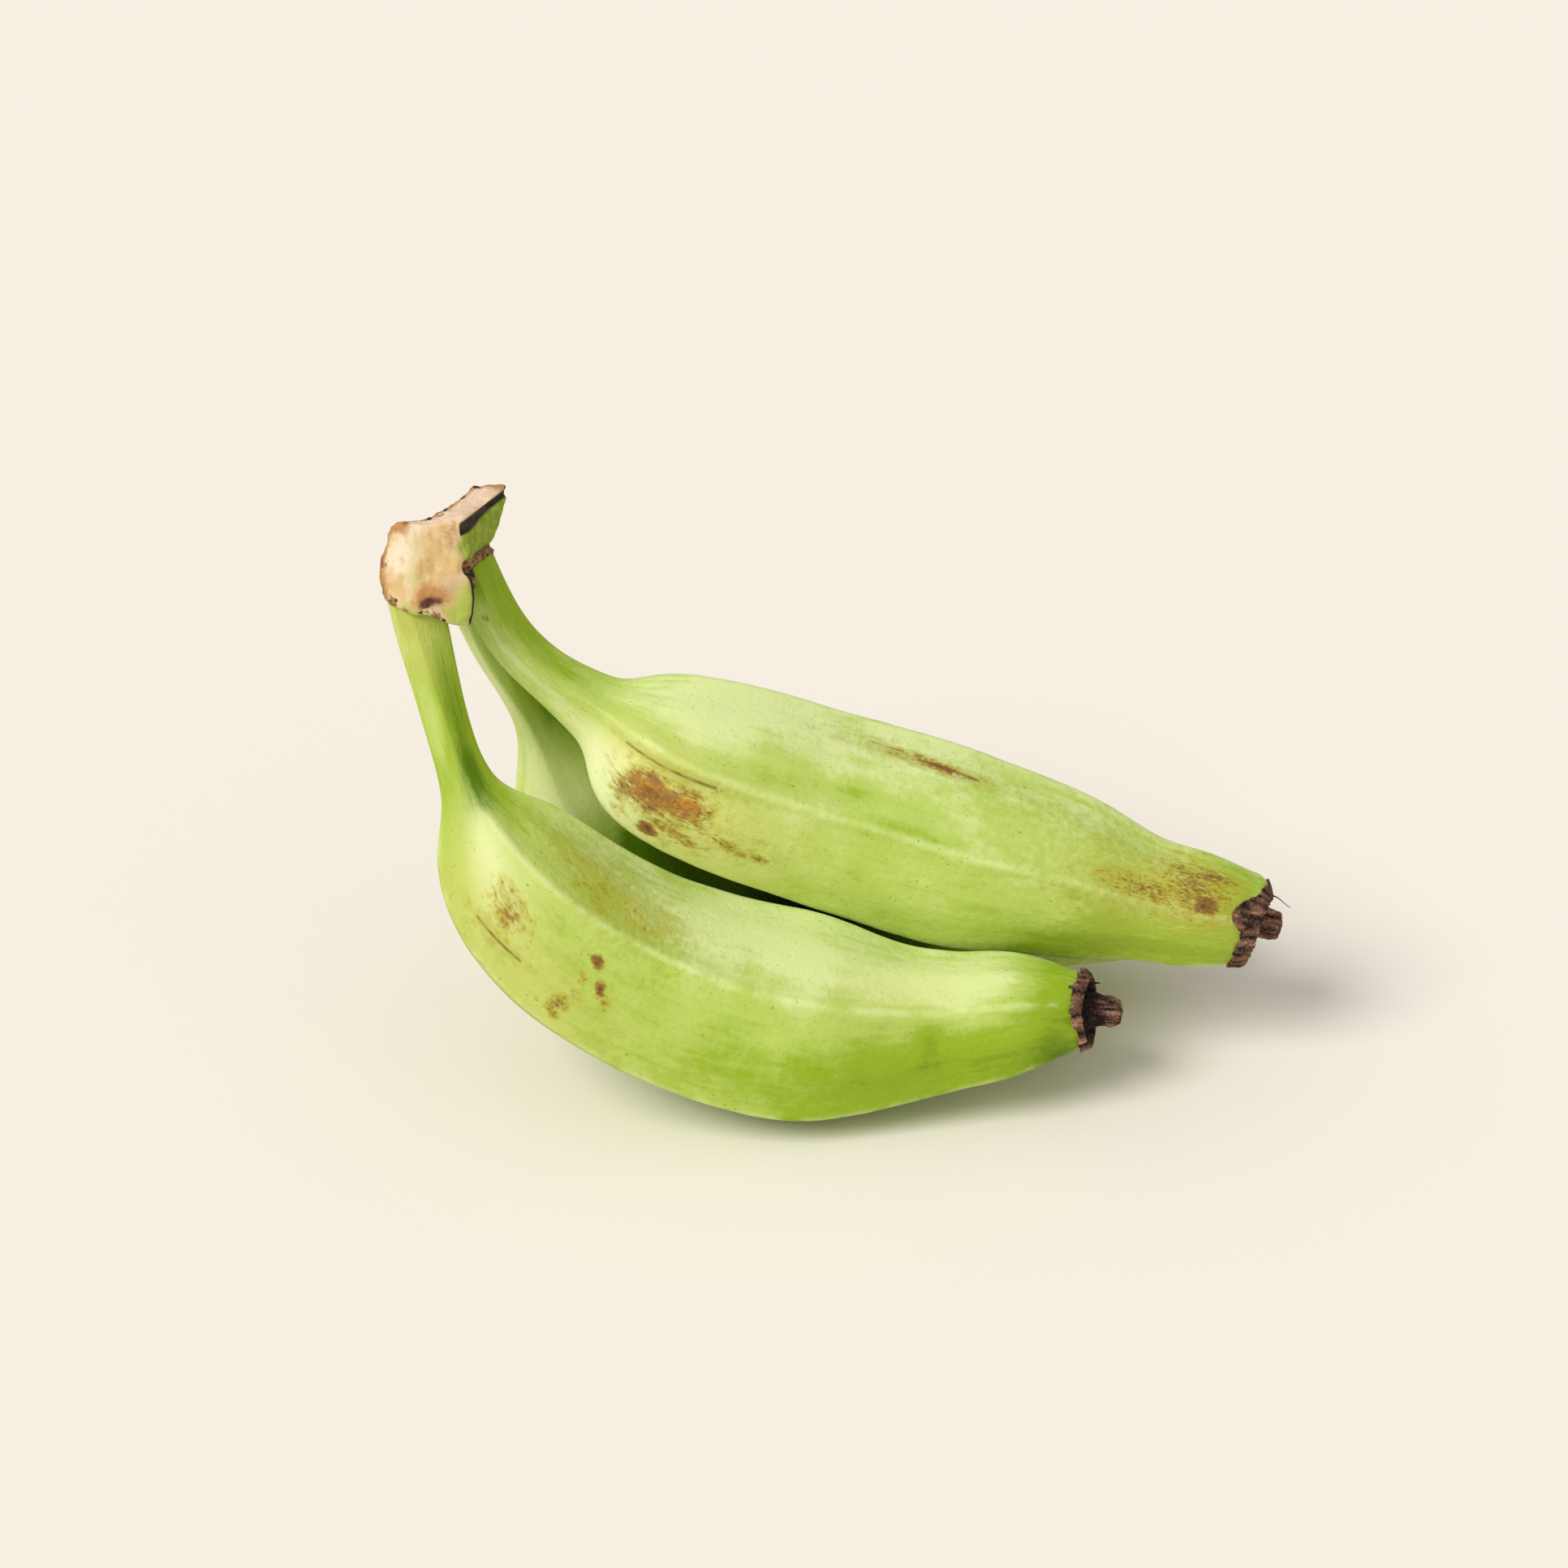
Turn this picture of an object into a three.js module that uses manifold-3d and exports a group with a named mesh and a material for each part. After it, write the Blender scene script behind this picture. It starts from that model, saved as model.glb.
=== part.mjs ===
// A small bunch of green cooking bananas: three thick ridged fingers on one cut crown.
// Units are millimetres, +Z is up. The bunch lies on the bellies of its front and back fingers, the top
// finger lies in the valley between them, and the crown stands clear of the surface at the -X end.
import * as THREE from "three";
import { mergeVertices } from "three/addons/utils/BufferGeometryUtils.js";
import Module from "manifold-3d";

const wasm = await Module();
wasm.setup();

// ---------- driving dimensions ----------
const GAP = 0.4; // clearance between neighbouring pieces
const RIDGES = 5; // a cooking banana is a rounded pentagon in section
const FACE_STEPS = 6; // mesh steps from one ridge to the next
const RIDGE_SOFTNESS = 4; // degrees over which a ridge is rounded off
const BELLY_Z = 1.5; // height at which the two lowest bellies are pressed flat
const TIP_DOME = 3; // length of the rounded end under the flower remains
const BODY_LENGTH_STEP = 6.5; // mesh step along a finger
const SHOULDER_STEP = 3.2; // finer mesh step where the neck opens into the body

// Where the drawing frame below sits in the part's own frame, whose origin is the middle of the bunch's
// footprint on the surface.
const DRAWING_ORIGIN = new THREE.Vector3(-7.7, -26.7, -BELLY_Z);

// Each finger: its spine from the neck's root to the blunt tip, its mean radius, the sharpness of its
// ridges and the turn of its first ridge, all by distance along the spine. Angles are in degrees from
// the side that faces -Y.
const FRONT_FINGER = {
  spine: [
    [-94.5, 16.8, 134], [-91, 13, 117.5], [-85.5, 7.5, 96.5], [-78.5, 2.5, 80], [-66.5, 0, 61],
    [-42, 0, 39.7], [-16, 0, 28.6], [6, 0, 24.7], [33, 0, 24.4], [53, 0, 26.6], [67.5, 0, 27.5],
  ],
  radius: [
    [0, 6.6], [9, 6.5], [20, 5.9], [33, 5.7], [43, 6.3], [51, 8.9], [59, 15], [70, 20.6],
    [87, 24.2], [111, 26], [139, 27], [161, 25.9], [178, 21.6], [195, 17.7], [209, 15.3],
    [222, 10.7],
  ],
  sharpness: [[0, 0.6], [33, 0.75], [67, 0.62], [147, 0.58], [222, 0.3]],
  turn: [[0, 12], [27, -4], [47, -16], [87, -36], [147, -39], [222, -40]],
  shoulder: [39, 81],
  onTable: true,
};
const TOP_FINGER = {
  spine: [
    [-83.3, 25.5, 145], [-78.6, 26, 130], [-72.4, 27, 116.5], [-60, 27, 104], [-47, 26, 95],
    [-33.5, 25, 86.3], [-18.5, 26.2, 78.8], [2, 28, 70], [23, 27.6, 62.8], [39, 26.4, 58],
    [55, 25.2, 54.3], [71, 24, 49.5], [92, 22, 44.5], [108, 22, 41],
  ],
  radius: [
    [0, 5.2], [16, 5.5], [31, 5.9], [43, 6.3], [54, 7.7], [60, 9.8], [65, 14.2], [71, 18.2], [82, 21.6],
    [98, 23.6], [120, 24.3], [160, 24.2], [176, 21.9], [193, 18.6], [204, 15.8], [217, 14.4],
    [231, 11.4],
  ],
  sharpness: [[0, 0.6], [30, 0.75], [70, 0.65], [140, 0.5], [231, 0.3]],
  turn: [[0, -8], [30, -18], [50, -21], [110, -24], [231, -24]],
  shoulder: [50, 92],
  onTable: false,
};
const BACK_FINGER = {
  spine: [
    [-85, 36.5, 131], [-79.3, 38.5, 112], [-72.8, 41, 98], [-67.8, 44, 86], [-63.8, 46.5, 75.5],
    [-54, 49.5, 56.5], [-36, 51.2, 38.6], [-14, 53.5, 25.5], [10, 55.2, 23.3], [36, 56.2, 23.8],
    [62, 55.7, 24.2], [80, 55, 24.6], [95.5, 54, 25.6],
  ],
  radius: [
    [0, 5.6], [20, 5.6], [36, 5.8], [49, 6.4], [59, 9.6], [69, 15.4], [80, 19.4], [102, 22.4],
    [128, 23.8], [154, 23.2], [180, 20.4], [204, 17.6], [222, 15.8], [230, 14.4], [238, 11],
  ],
  sharpness: [[0, 0.6], [30, 0.8], [80, 0.65], [150, 0.5], [238, 0.3]],
  turn: [[0, 28], [40, 18], [70, 4], [100, -20], [150, -36], [238, -38]],
  shoulder: [46, 96],
  onTable: true,
};

// The crown is what the knife left of the stalk. Each block of it is cut by planes, given by the way
// they face and their distance from the block's middle.
const CROWN_HUB = {
  middle: [-90.8, 20, 139.2],
  cuts: [
    { facing: [-1, -0.1, 0], reach: 12 },
    { facing: [-0.5, -0.85, 0.15], reach: 11.4 },
    { facing: [0.1, -0.97, 0.2], reach: 11 },
    { facing: [0.98, 0, 0.13], reach: 9.2 },
    { facing: [0, 0, 1], reach: 16.2 },
    { facing: [-0.72, 0.69, 0.45], reach: 7.6 },
    { facing: [0.25, 0.95, 0.2], reach: 21.7 },
    { facing: [-0.25, -0.1, -0.95], reach: 8.2 },
  ],
};
const CROWN_EAR = {
  middle: [-79.6, 27, 148.2],
  cuts: [
    { facing: [0, 0, 1], reach: 7.2 },
    { facing: [0.887, -0.462, 0.05], reach: 4 },
    { facing: [0.8, 0.45, -0.54], reach: 4.4 },
    { facing: [-0.37, 0.93, 0.1], reach: 5.2 },
    { facing: [-0.72, 0.69, 0.2], reach: 5.2 },
    { facing: [-0.6, -0.8, 0], reach: 13.5 },
    { facing: [0.1, 0, -1], reach: 5 },
  ],
};

// The dried flower remains: a ragged collar round the tip and a crumpled stub, whose rings are given
// as [distance past the tip, share of the tip's radius].
const FLOWER_END = {
  collar: 2.6, // how far the longest teeth reach back over the skin
  collarProud: 0.7, // how far the collar stands off the skin
  teeth: 8,
  stub: [[0, 1.02], [2.4, 0.93], [4, 0.72], [6, 0.5], [8, 0.4], [9.6, 0.3]],
  lobes: 5,
  lobeDepth: 0.14,
};

const PEEL = { color: 0xa9cc55, roughness: 0.55, metalness: 0 };
const CUT_STALK = { color: 0xd6bb86, roughness: 0.85, metalness: 0 };
const DRIED_FLOWER = { color: 0x4a3128, roughness: 0.95, metalness: 0 };

// ---------- curves ----------

/** The natural cubic spline through [place, value] knots, as a function of place. */
function spline(knots) {
  const last = knots.length - 1;
  const step = (i) => knots[i + 1][0] - knots[i][0];
  const slope = (i) => (knots[i + 1][1] - knots[i][1]) / step(i);
  const bend = new Array(last + 1).fill(0);
  const carry = new Array(last + 1).fill(0);
  for (let i = 1; i < last; i++) {
    const pivot = 2 * (step(i - 1) + step(i)) - step(i - 1) * carry[i - 1];
    carry[i] = step(i) / pivot;
    bend[i] = (6 * (slope(i) - slope(i - 1)) - step(i - 1) * bend[i - 1]) / pivot;
  }
  for (let i = last - 1; i > 0; i--) bend[i] -= carry[i] * bend[i + 1];
  return (place) => {
    let i = 0;
    while (i < last - 1 && place > knots[i + 1][0]) i++;
    const after = (place - knots[i][0]) / step(i);
    const before = 1 - after;
    const cubic = (before ** 3 - before) * bend[i] + (after ** 3 - after) * bend[i + 1];
    return before * knots[i][1] + after * knots[i + 1][1] + (cubic * step(i) ** 2) / 6;
  };
}

/** How far the rounded pentagon reaches at an angle from a ridge, as a share of the mean radius. */
function pentagon(fromRidge, sharpness) {
  const half = Math.PI / RIDGES;
  const soft = THREE.MathUtils.degToRad(RIDGE_SOFTNESS);
  const away = Math.abs(fromRidge) > half ? 2 * half - Math.abs(fromRidge) : Math.abs(fromRidge);
  const fromMiddle = half - Math.min(Math.hypot(away, soft), half);
  const reach = (Math.cos(half) / Math.cos(fromMiddle)) ** sharpness;
  return (2 * reach) / (1 + Math.cos(half) ** sharpness);
}

// ---------- mesh and solid helpers ----------

/** A closed tube through rings of points, with a fan of triangles over each end. */
function loft(rings) {
  const around = rings[0].length;
  const centre = (ring) => ring.reduce((sum, p) => sum.add(p), new THREE.Vector3()).divideScalar(around);
  const points = [...rings.flat(), centre(rings[0]), centre(rings[rings.length - 1])];
  const [firstHub, lastHub] = [points.length - 2, points.length - 1];
  const lastRing = (rings.length - 1) * around;
  const faces = [];
  for (let j = 0; j < around; j++) {
    const next = (j + 1) % around;
    for (let i = 0; i < lastRing; i += around) {
      faces.push(i + j, i + next, i + around + next, i + j, i + around + next, i + around + j);
    }
    faces.push(firstHub, next, j);
    faces.push(lastHub, lastRing + j, lastRing + next);
  }
  const geometry = new THREE.BufferGeometry().setFromPoints(points);
  geometry.setIndex(faces);
  return geometry;
}

/** A manifold solid of a closed geometry. */
function solidOf(geometry) {
  const bare = geometry.clone();
  bare.deleteAttribute("normal");
  bare.deleteAttribute("uv");
  const merged = mergeVertices(bare, 1e-4);
  return new wasm.Manifold(
    new wasm.Mesh({
      numProp: 3,
      vertProperties: new Float32Array(merged.attributes.position.array),
      triVerts: new Uint32Array(merged.index.array),
    }),
  );
}

/** The largest piece of a manifold solid as a geometry: a cut can leave loose crumbs. */
function geometryOf(solid) {
  const pieces = solid.decompose().sort((a, b) => b.volume() - a.volume());
  const mesh = pieces[0].getMesh();
  const geometry = new THREE.BufferGeometry();
  geometry.setAttribute("position", new THREE.BufferAttribute(new Float32Array(mesh.vertProperties), 3));
  geometry.setIndex(new THREE.BufferAttribute(new Uint32Array(mesh.triVerts), 1));
  return geometry;
}

function namedMesh(name, geometry, finish) {
  geometry.computeVertexNormals();
  const mesh = new THREE.Mesh(geometry, new THREE.MeshStandardMaterial(finish));
  mesh.name = name;
  return mesh;
}

// ---------- fingers ----------

/** One finger: its spine, measured in millimetres from the neck's root, and what varies along it. */
class Finger {
  constructor({ spine, radius, sharpness, turn, shoulder, onTable }) {
    const at = [0];
    for (let i = 1; i < spine.length; i++) {
      at.push(at[i - 1] + Math.hypot(...spine[i].map((v, k) => v - spine[i - 1][k])));
    }
    this.length = at[at.length - 1];
    this.axes = [0, 1, 2].map((k) => spline(spine.map((p, i) => [at[i], p[k]])));
    this.radius = spline(radius);
    this.sharpness = spline(sharpness);
    this.turn = spline(turn);
    this.shoulder = shoulder;
    this.lowest = onTable ? BELLY_Z : -Infinity;
  }

  /** The spine's point at a place; past the tip it runs straight on. */
  point(place) {
    const inside = Math.min(place, this.length);
    const point = new THREE.Vector3(...this.axes.map((axis) => axis(inside)));
    return place > inside ? point.addScaledVector(this.frame(inside).along, place - inside) : point;
  }

  /** The spine's direction and the two ways across it: `side` faces -Y as nearly as it can. */
  frame(place) {
    const middle = Math.min(Math.max(place, 0.1), this.length - 0.1);
    const along = this.point(middle + 0.1).sub(this.point(middle - 0.1)).normalize();
    const side = new THREE.Vector3(0, -1, 0).projectOnPlane(along).normalize();
    return { along, side, across: along.clone().cross(side) };
  }

  /** The point at an angle round the spine and a reach out from it. */
  around(place, angle, reach) {
    const { side, across } = this.frame(place);
    const point = this.point(place).addScaledVector(side, reach * Math.cos(angle));
    return point.addScaledVector(across, reach * Math.sin(angle));
  }

  /** One ring of the skin, `extra` millimetres outside it, its radius scaled by `share`. */
  ring(place, extra, share = 1) {
    const inside = Math.min(place, this.length);
    const turn = THREE.MathUtils.degToRad(this.turn(inside));
    const steps = RIDGES * FACE_STEPS;
    return Array.from({ length: steps }, (_, j) => {
      const fromRidge = ((j % FACE_STEPS) * 2 * Math.PI) / steps;
      const reach = this.radius(inside) * pentagon(fromRidge, this.sharpness(inside)) + extra;
      const point = this.around(place, turn + (j * 2 * Math.PI) / steps, reach * share);
      point.z = Math.max(point.z, this.lowest - extra);
      return point;
    });
  }

  /** Places of the rings along the finger, closer together over its shoulder. */
  ringPlaces() {
    const places = [0];
    while (places[places.length - 1] < this.length) {
      const here = places[places.length - 1];
      const onShoulder = here >= this.shoulder[0] && here < this.shoulder[1];
      places.push(here + (onShoulder ? SHOULDER_STEP : BODY_LENGTH_STEP));
    }
    places[places.length - 1] = this.length;
    return places;
  }

  /** The closed skin, `extra` millimetres outside the real one: neck, body and the tip's low dome. */
  skin(extra = 0) {
    const rings = this.ringPlaces().map((place) => this.ring(place, extra));
    for (const bend of [25, 50, 75]) {
      const angle = THREE.MathUtils.degToRad(bend);
      const place = this.length + (TIP_DOME + extra) * Math.sin(angle);
      rings.push(this.ring(place, extra, Math.cos(angle)));
    }
    return loft(rings);
  }

  /** The first part of the neck, `extra` millimetres outside it. */
  neck(length, extra) {
    const places = this.ringPlaces().filter((place) => place <= length);
    const rings = places.map((place) => this.ring(place, extra));
    const { along } = this.frame(0);
    rings.unshift(rings[0].map((point) => point.clone().addScaledVector(along, -extra)));
    return loft(rings);
  }
}

// ---------- crown ----------

/** A block cut flat on every side: what all the cuts leave of a large cube. */
function cutBlock({ middle, cuts }) {
  const SIDE = 120;
  const kept = cuts.map(({ facing, reach }) => {
    const way = new THREE.Vector3(...facing).normalize();
    const cube = new THREE.BoxGeometry(SIDE, SIDE, SIDE);
    cube.translate(0, 0, reach - SIDE / 2);
    cube.applyQuaternion(new THREE.Quaternion().setFromUnitVectors(new THREE.Vector3(0, 0, 1), way));
    return solidOf(cube.translate(...middle));
  });
  return kept.reduce((block, side) => block.intersect(side));
}

/** The crown with a socket for each neck. */
function crownGeometry(fingers) {
  const NECK_LENGTH = 40; // enough of each neck to pass right out of the crown
  let crown = cutBlock(CROWN_HUB).add(cutBlock(CROWN_EAR));
  for (const finger of fingers) crown = crown.subtract(solidOf(finger.neck(NECK_LENGTH, GAP)));
  return geometryOf(crown);
}

// ---------- flower ends ----------

/** The dried remains on a finger's tip: collar teeth over the skin, then a lobed stub. */
function flowerEndGeometry(finger, phase) {
  const { collar, collarProud, teeth, stub, lobes, lobeDepth } = FLOWER_END;
  const steps = teeth * 3;
  const ring = (placeAt, reachAt) =>
    Array.from({ length: steps }, (_, j) => {
      const angle = (j * 2 * Math.PI) / steps;
      return finger.around(finger.length + placeAt(angle), angle, reachAt(angle));
    });
  const tipRadius = finger.radius(finger.length);
  const back = (angle) => -0.6 - collar * Math.abs(Math.sin((teeth * angle) / 2 + phase));
  const lobe = (angle) => 1 + lobeDepth * Math.sin(lobes * angle + phase);
  const rings = [
    ring(back, () => tipRadius * 0.5),
    ring(back, (angle) => finger.radius(finger.length + back(angle)) * 1.03 + collarProud),
    ...stub.map(([place, share], k) =>
      ring(
        (angle) => place + 0.5 * Math.sin(3 * angle + phase + k),
        (angle) => (share * tipRadius + (k === 0 ? collarProud : 0)) * (k < 2 ? 1 : lobe(angle)),
      ),
    ),
  ];
  return geometryOf(solidOf(loft(rings)).subtract(solidOf(finger.skin(GAP))));
}

// ---------- the bunch ----------

const fingers = {
  front: new Finger(FRONT_FINGER),
  top: new Finger(TOP_FINGER),
  back: new Finger(BACK_FINGER),
};
const bunch = new THREE.Group();
Object.entries(fingers).forEach(([where, finger], index) => {
  bunch.add(namedMesh(`finger_${where}`, finger.skin(), PEEL));
  bunch.add(namedMesh(`flower_end_${where}`, flowerEndGeometry(finger, index), DRIED_FLOWER));
});
bunch.add(namedMesh("crown", crownGeometry(Object.values(fingers)), CUT_STALK));
bunch.position.copy(DRAWING_ORIGIN);

export default bunch;
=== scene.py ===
"""Looks for a small bunch of green cooking bananas: three ridged fingers on one cut crown.

Shapes are worked out in millimetres in the part's frame and become metres when a mesh is made.
A place on a finger is the distance along its spine from the neck's root, in millimetres. An
angle round a finger is counted from the side that faces -Y. A field is a value stored at each
vertex of a mesh, which a material reads by its name.
"""

import logging
import math
from collections.abc import Iterable
from dataclasses import dataclass
from enum import Enum
from functools import reduce

import bmesh
import bpy
import numpy as np
from mathutils import Matrix, Vector, noise


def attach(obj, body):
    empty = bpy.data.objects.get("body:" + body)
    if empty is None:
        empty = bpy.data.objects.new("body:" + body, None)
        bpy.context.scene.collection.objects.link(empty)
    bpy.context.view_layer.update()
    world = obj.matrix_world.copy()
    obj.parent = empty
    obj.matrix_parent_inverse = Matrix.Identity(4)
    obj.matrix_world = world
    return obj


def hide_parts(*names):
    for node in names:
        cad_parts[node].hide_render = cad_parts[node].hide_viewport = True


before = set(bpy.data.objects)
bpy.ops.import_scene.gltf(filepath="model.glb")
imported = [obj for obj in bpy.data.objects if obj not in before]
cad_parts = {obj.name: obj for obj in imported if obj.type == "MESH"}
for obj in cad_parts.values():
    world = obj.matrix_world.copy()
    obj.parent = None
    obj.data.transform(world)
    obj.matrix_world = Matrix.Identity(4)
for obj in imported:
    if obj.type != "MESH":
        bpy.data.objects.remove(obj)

LOG = logging.getLogger("bananas")

Knots = tuple[tuple[float, float], ...]
Triple = tuple[float, float, float]
Colour = tuple[float, float, float]

MM = 0.001
DRAWING_ORIGIN = np.array((-7.7, -26.7, -1.5))  # where the drawing's zero lies in the frame
RIDGES = 5
HALF_RIDGE = math.pi / RIDGES  # half the angle from one ridge to the next
RIDGE_SOFTNESS = math.radians(4)
GRAIN_RADIUS = 24.0  # radius of the even cylinder on which the peel's grain is drawn


# ---------- numbers ----------


def smooth(x: np.ndarray, low: float, high: float) -> np.ndarray:
    """A smooth step from 0 at `low` to 1 at `high`, which may be the smaller."""
    t = np.clip((x - low) / (high - low), 0.0, 1.0)
    return t * t * (3.0 - 2.0 * t)


def round_about(knots: Knots, angles: np.ndarray) -> np.ndarray:
    """Values given as (degrees, value), carried all the way round, at angles in radians."""
    turns, values = zip(*knots)
    return np.interp(np.degrees(angles), turns, values, period=360)


def hump(x: np.ndarray, width: float) -> np.ndarray:
    """A bell of height 1 round zero that has faded at about `width`."""
    return np.exp(-((2.0 * x / width) ** 2))


def distance(points: np.ndarray, middle: Triple) -> np.ndarray:
    """Distance of each point from a middle."""
    return np.linalg.norm(points - np.array(middle), axis=1)


def off_ridge(from_first: np.ndarray) -> np.ndarray:
    """Angle from the nearest ridge, given the angle from the first one."""
    return np.abs((from_first + HALF_RIDGE) % (2 * HALF_RIDGE) - HALF_RIDGE)


def ripple(points: np.ndarray, size: float, seed: float = 0.0) -> np.ndarray:
    """Smooth noise from about -1 to 1.

    Args:
        points: positions, one a row.
        size: how far apart the noise's humps are, in the unit of the points.
        seed: picks another pattern.

    Returns:
        One value for each point.
    """
    shift = np.array((seed * 7.31, seed * 3.17, seed * 5.73))
    scaled = points / size + shift
    return np.array([noise.noise(Vector(p)) for p in scaled])


def crumple(points: np.ndarray, size: float, octaves: int, seed: float = 0.0) -> np.ndarray:
    """Creased noise, 0 in its sharp folds and rising between them.

    Args:
        points: positions, one a row.
        size: size of the largest folds, in the unit of the points.
        octaves: how many finer sets of folds lie on the largest.
        seed: picks another pattern.

    Returns:
        One value for each point, mostly from 0 to 1.
    """
    scaled = points / size + seed * 4.71
    return np.array([noise.turbulence(Vector(p), octaves, True) for p in scaled])


class Spline:
    """A natural cubic through (place, value) knots."""

    def __init__(self, knots: Knots) -> None:
        """Solves for the curve's bend at each knot.

        Args:
            knots: the curve's points, by rising place.
        """
        table = np.array(knots, float)
        self.places, self.values = table[:, 0], table[:, 1]
        steps = np.diff(self.places)
        slopes = np.diff(self.values) / steps
        size = len(table)
        system, right = np.eye(size), np.zeros(size)
        for i in range(1, size - 1):
            system[i, i - 1 : i + 2] = steps[i - 1], 2 * (steps[i - 1] + steps[i]), steps[i]
            right[i] = 6 * (slopes[i] - slopes[i - 1])
        self.bends = np.linalg.solve(system, right)

    def __call__(self, places: np.ndarray) -> np.ndarray:
        """Reads the curve.

        Args:
            places: where to read it.

        Returns:
            The curve's values there.
        """
        index = np.clip(np.searchsorted(self.places, places) - 1, 0, len(self.places) - 2)
        step = self.places[index + 1] - self.places[index]
        after = (places - self.places[index]) / step
        before = 1.0 - after
        straight = before * self.values[index] + after * self.values[index + 1]
        cubic = (before**3 - before) * self.bends[index]
        cubic += (after**3 - after) * self.bends[index + 1]
        return straight + cubic * step**2 / 6

    def at(self, place: float) -> float:
        """The curve's value at one place."""
        return float(self(np.array(place)))


# ---------- meshes ----------


def make_piece(
    name: str, points: np.ndarray, faces: list[tuple[int, ...]], fields: dict[str, np.ndarray]
) -> bpy.types.Object:
    """Makes a smooth-shaded mesh object at the origin.

    Args:
        name: the piece's name.
        points: vertices in millimetres.
        faces: vertex numbers of each face.
        fields: values for each vertex, by the name that its material reads.

    Returns:
        The new object, linked to the scene.
    """
    mesh = bpy.data.meshes.new(name)
    mesh.from_pydata((points * MM).tolist(), [], faces)
    mesh.polygons.foreach_set("use_smooth", np.ones(len(mesh.polygons), bool))
    for field_name, values in fields.items():
        store_field(mesh, field_name, values)
    mesh.validate()
    piece = bpy.data.objects.new(name, mesh)
    bpy.context.scene.collection.objects.link(piece)
    return piece


def store_field(mesh: bpy.types.Mesh, name: str, values: np.ndarray) -> None:
    """Stores a field on a mesh.

    Args:
        mesh: the mesh.
        name: the field's name.
        values: for each vertex, a number or a row of three.
    """
    kind, key = ("FLOAT", "value") if values.ndim == 1 else ("FLOAT_VECTOR", "vector")
    field = mesh.attributes.new(name, kind, "POINT")
    field.data.foreach_set(key, values.astype(np.float32).ravel())


def tube_faces(rings: int, around: int, first: int = 0) -> list[tuple[int, ...]]:
    """Faces of a closed tube.

    Args:
        rings: number of rings of points.
        around: points in each ring.
        first: number of the first ring's first point. The two hub points of the end fans
            follow the last ring.

    Returns:
        Quads between the rings and a fan of triangles over each end.
    """
    faces: list[tuple[int, ...]] = []
    start_hub = first + rings * around
    last = first + (rings - 1) * around
    for j in range(around):
        k = (j + 1) % around
        for row in range(first, last, around):
            faces.append((row + j, row + k, row + around + k, row + around + j))
        faces.append((start_hub, first + k, first + j))
        faces.append((start_hub + 1, last + j, last + k))
    return faces


def with_hubs(grid: np.ndarray) -> np.ndarray:
    """A tube's points, one a row, then the middle of its first ring and of its last."""
    return np.concatenate([grid.reshape(-1, 3), grid[[0, -1]].mean(axis=1)])


# ---------- materials ----------

Socket = bpy.types.NodeSocket
Feed = Socket | float | Colour

MIX_UNDER, MIX_OVER, MIX_RESULT = 6, 7, 2  # numbers of the mix node's sockets for colours


@dataclass(frozen=True)
class Edge:
    """How noise breaks up a patch whose mask is stored as a field.

    Attributes:
        amount: how much the noise counts.
        low: mask and noise together where the patch begins to show.
        high: mask and noise together where it shows in full.
        top: how strongly it shows then.
        fade: the mask's value up to which the patch is held back, whatever the noise.
    """

    amount: float
    low: float
    high: float
    top: float = 1.0
    fade: float = 0.12


SOFT = Edge(amount=0.9, low=0.05, high=0.95, fade=0.3)
RAGGED = Edge(amount=1.6, low=0.35, high=0.7, fade=0.15)


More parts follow.
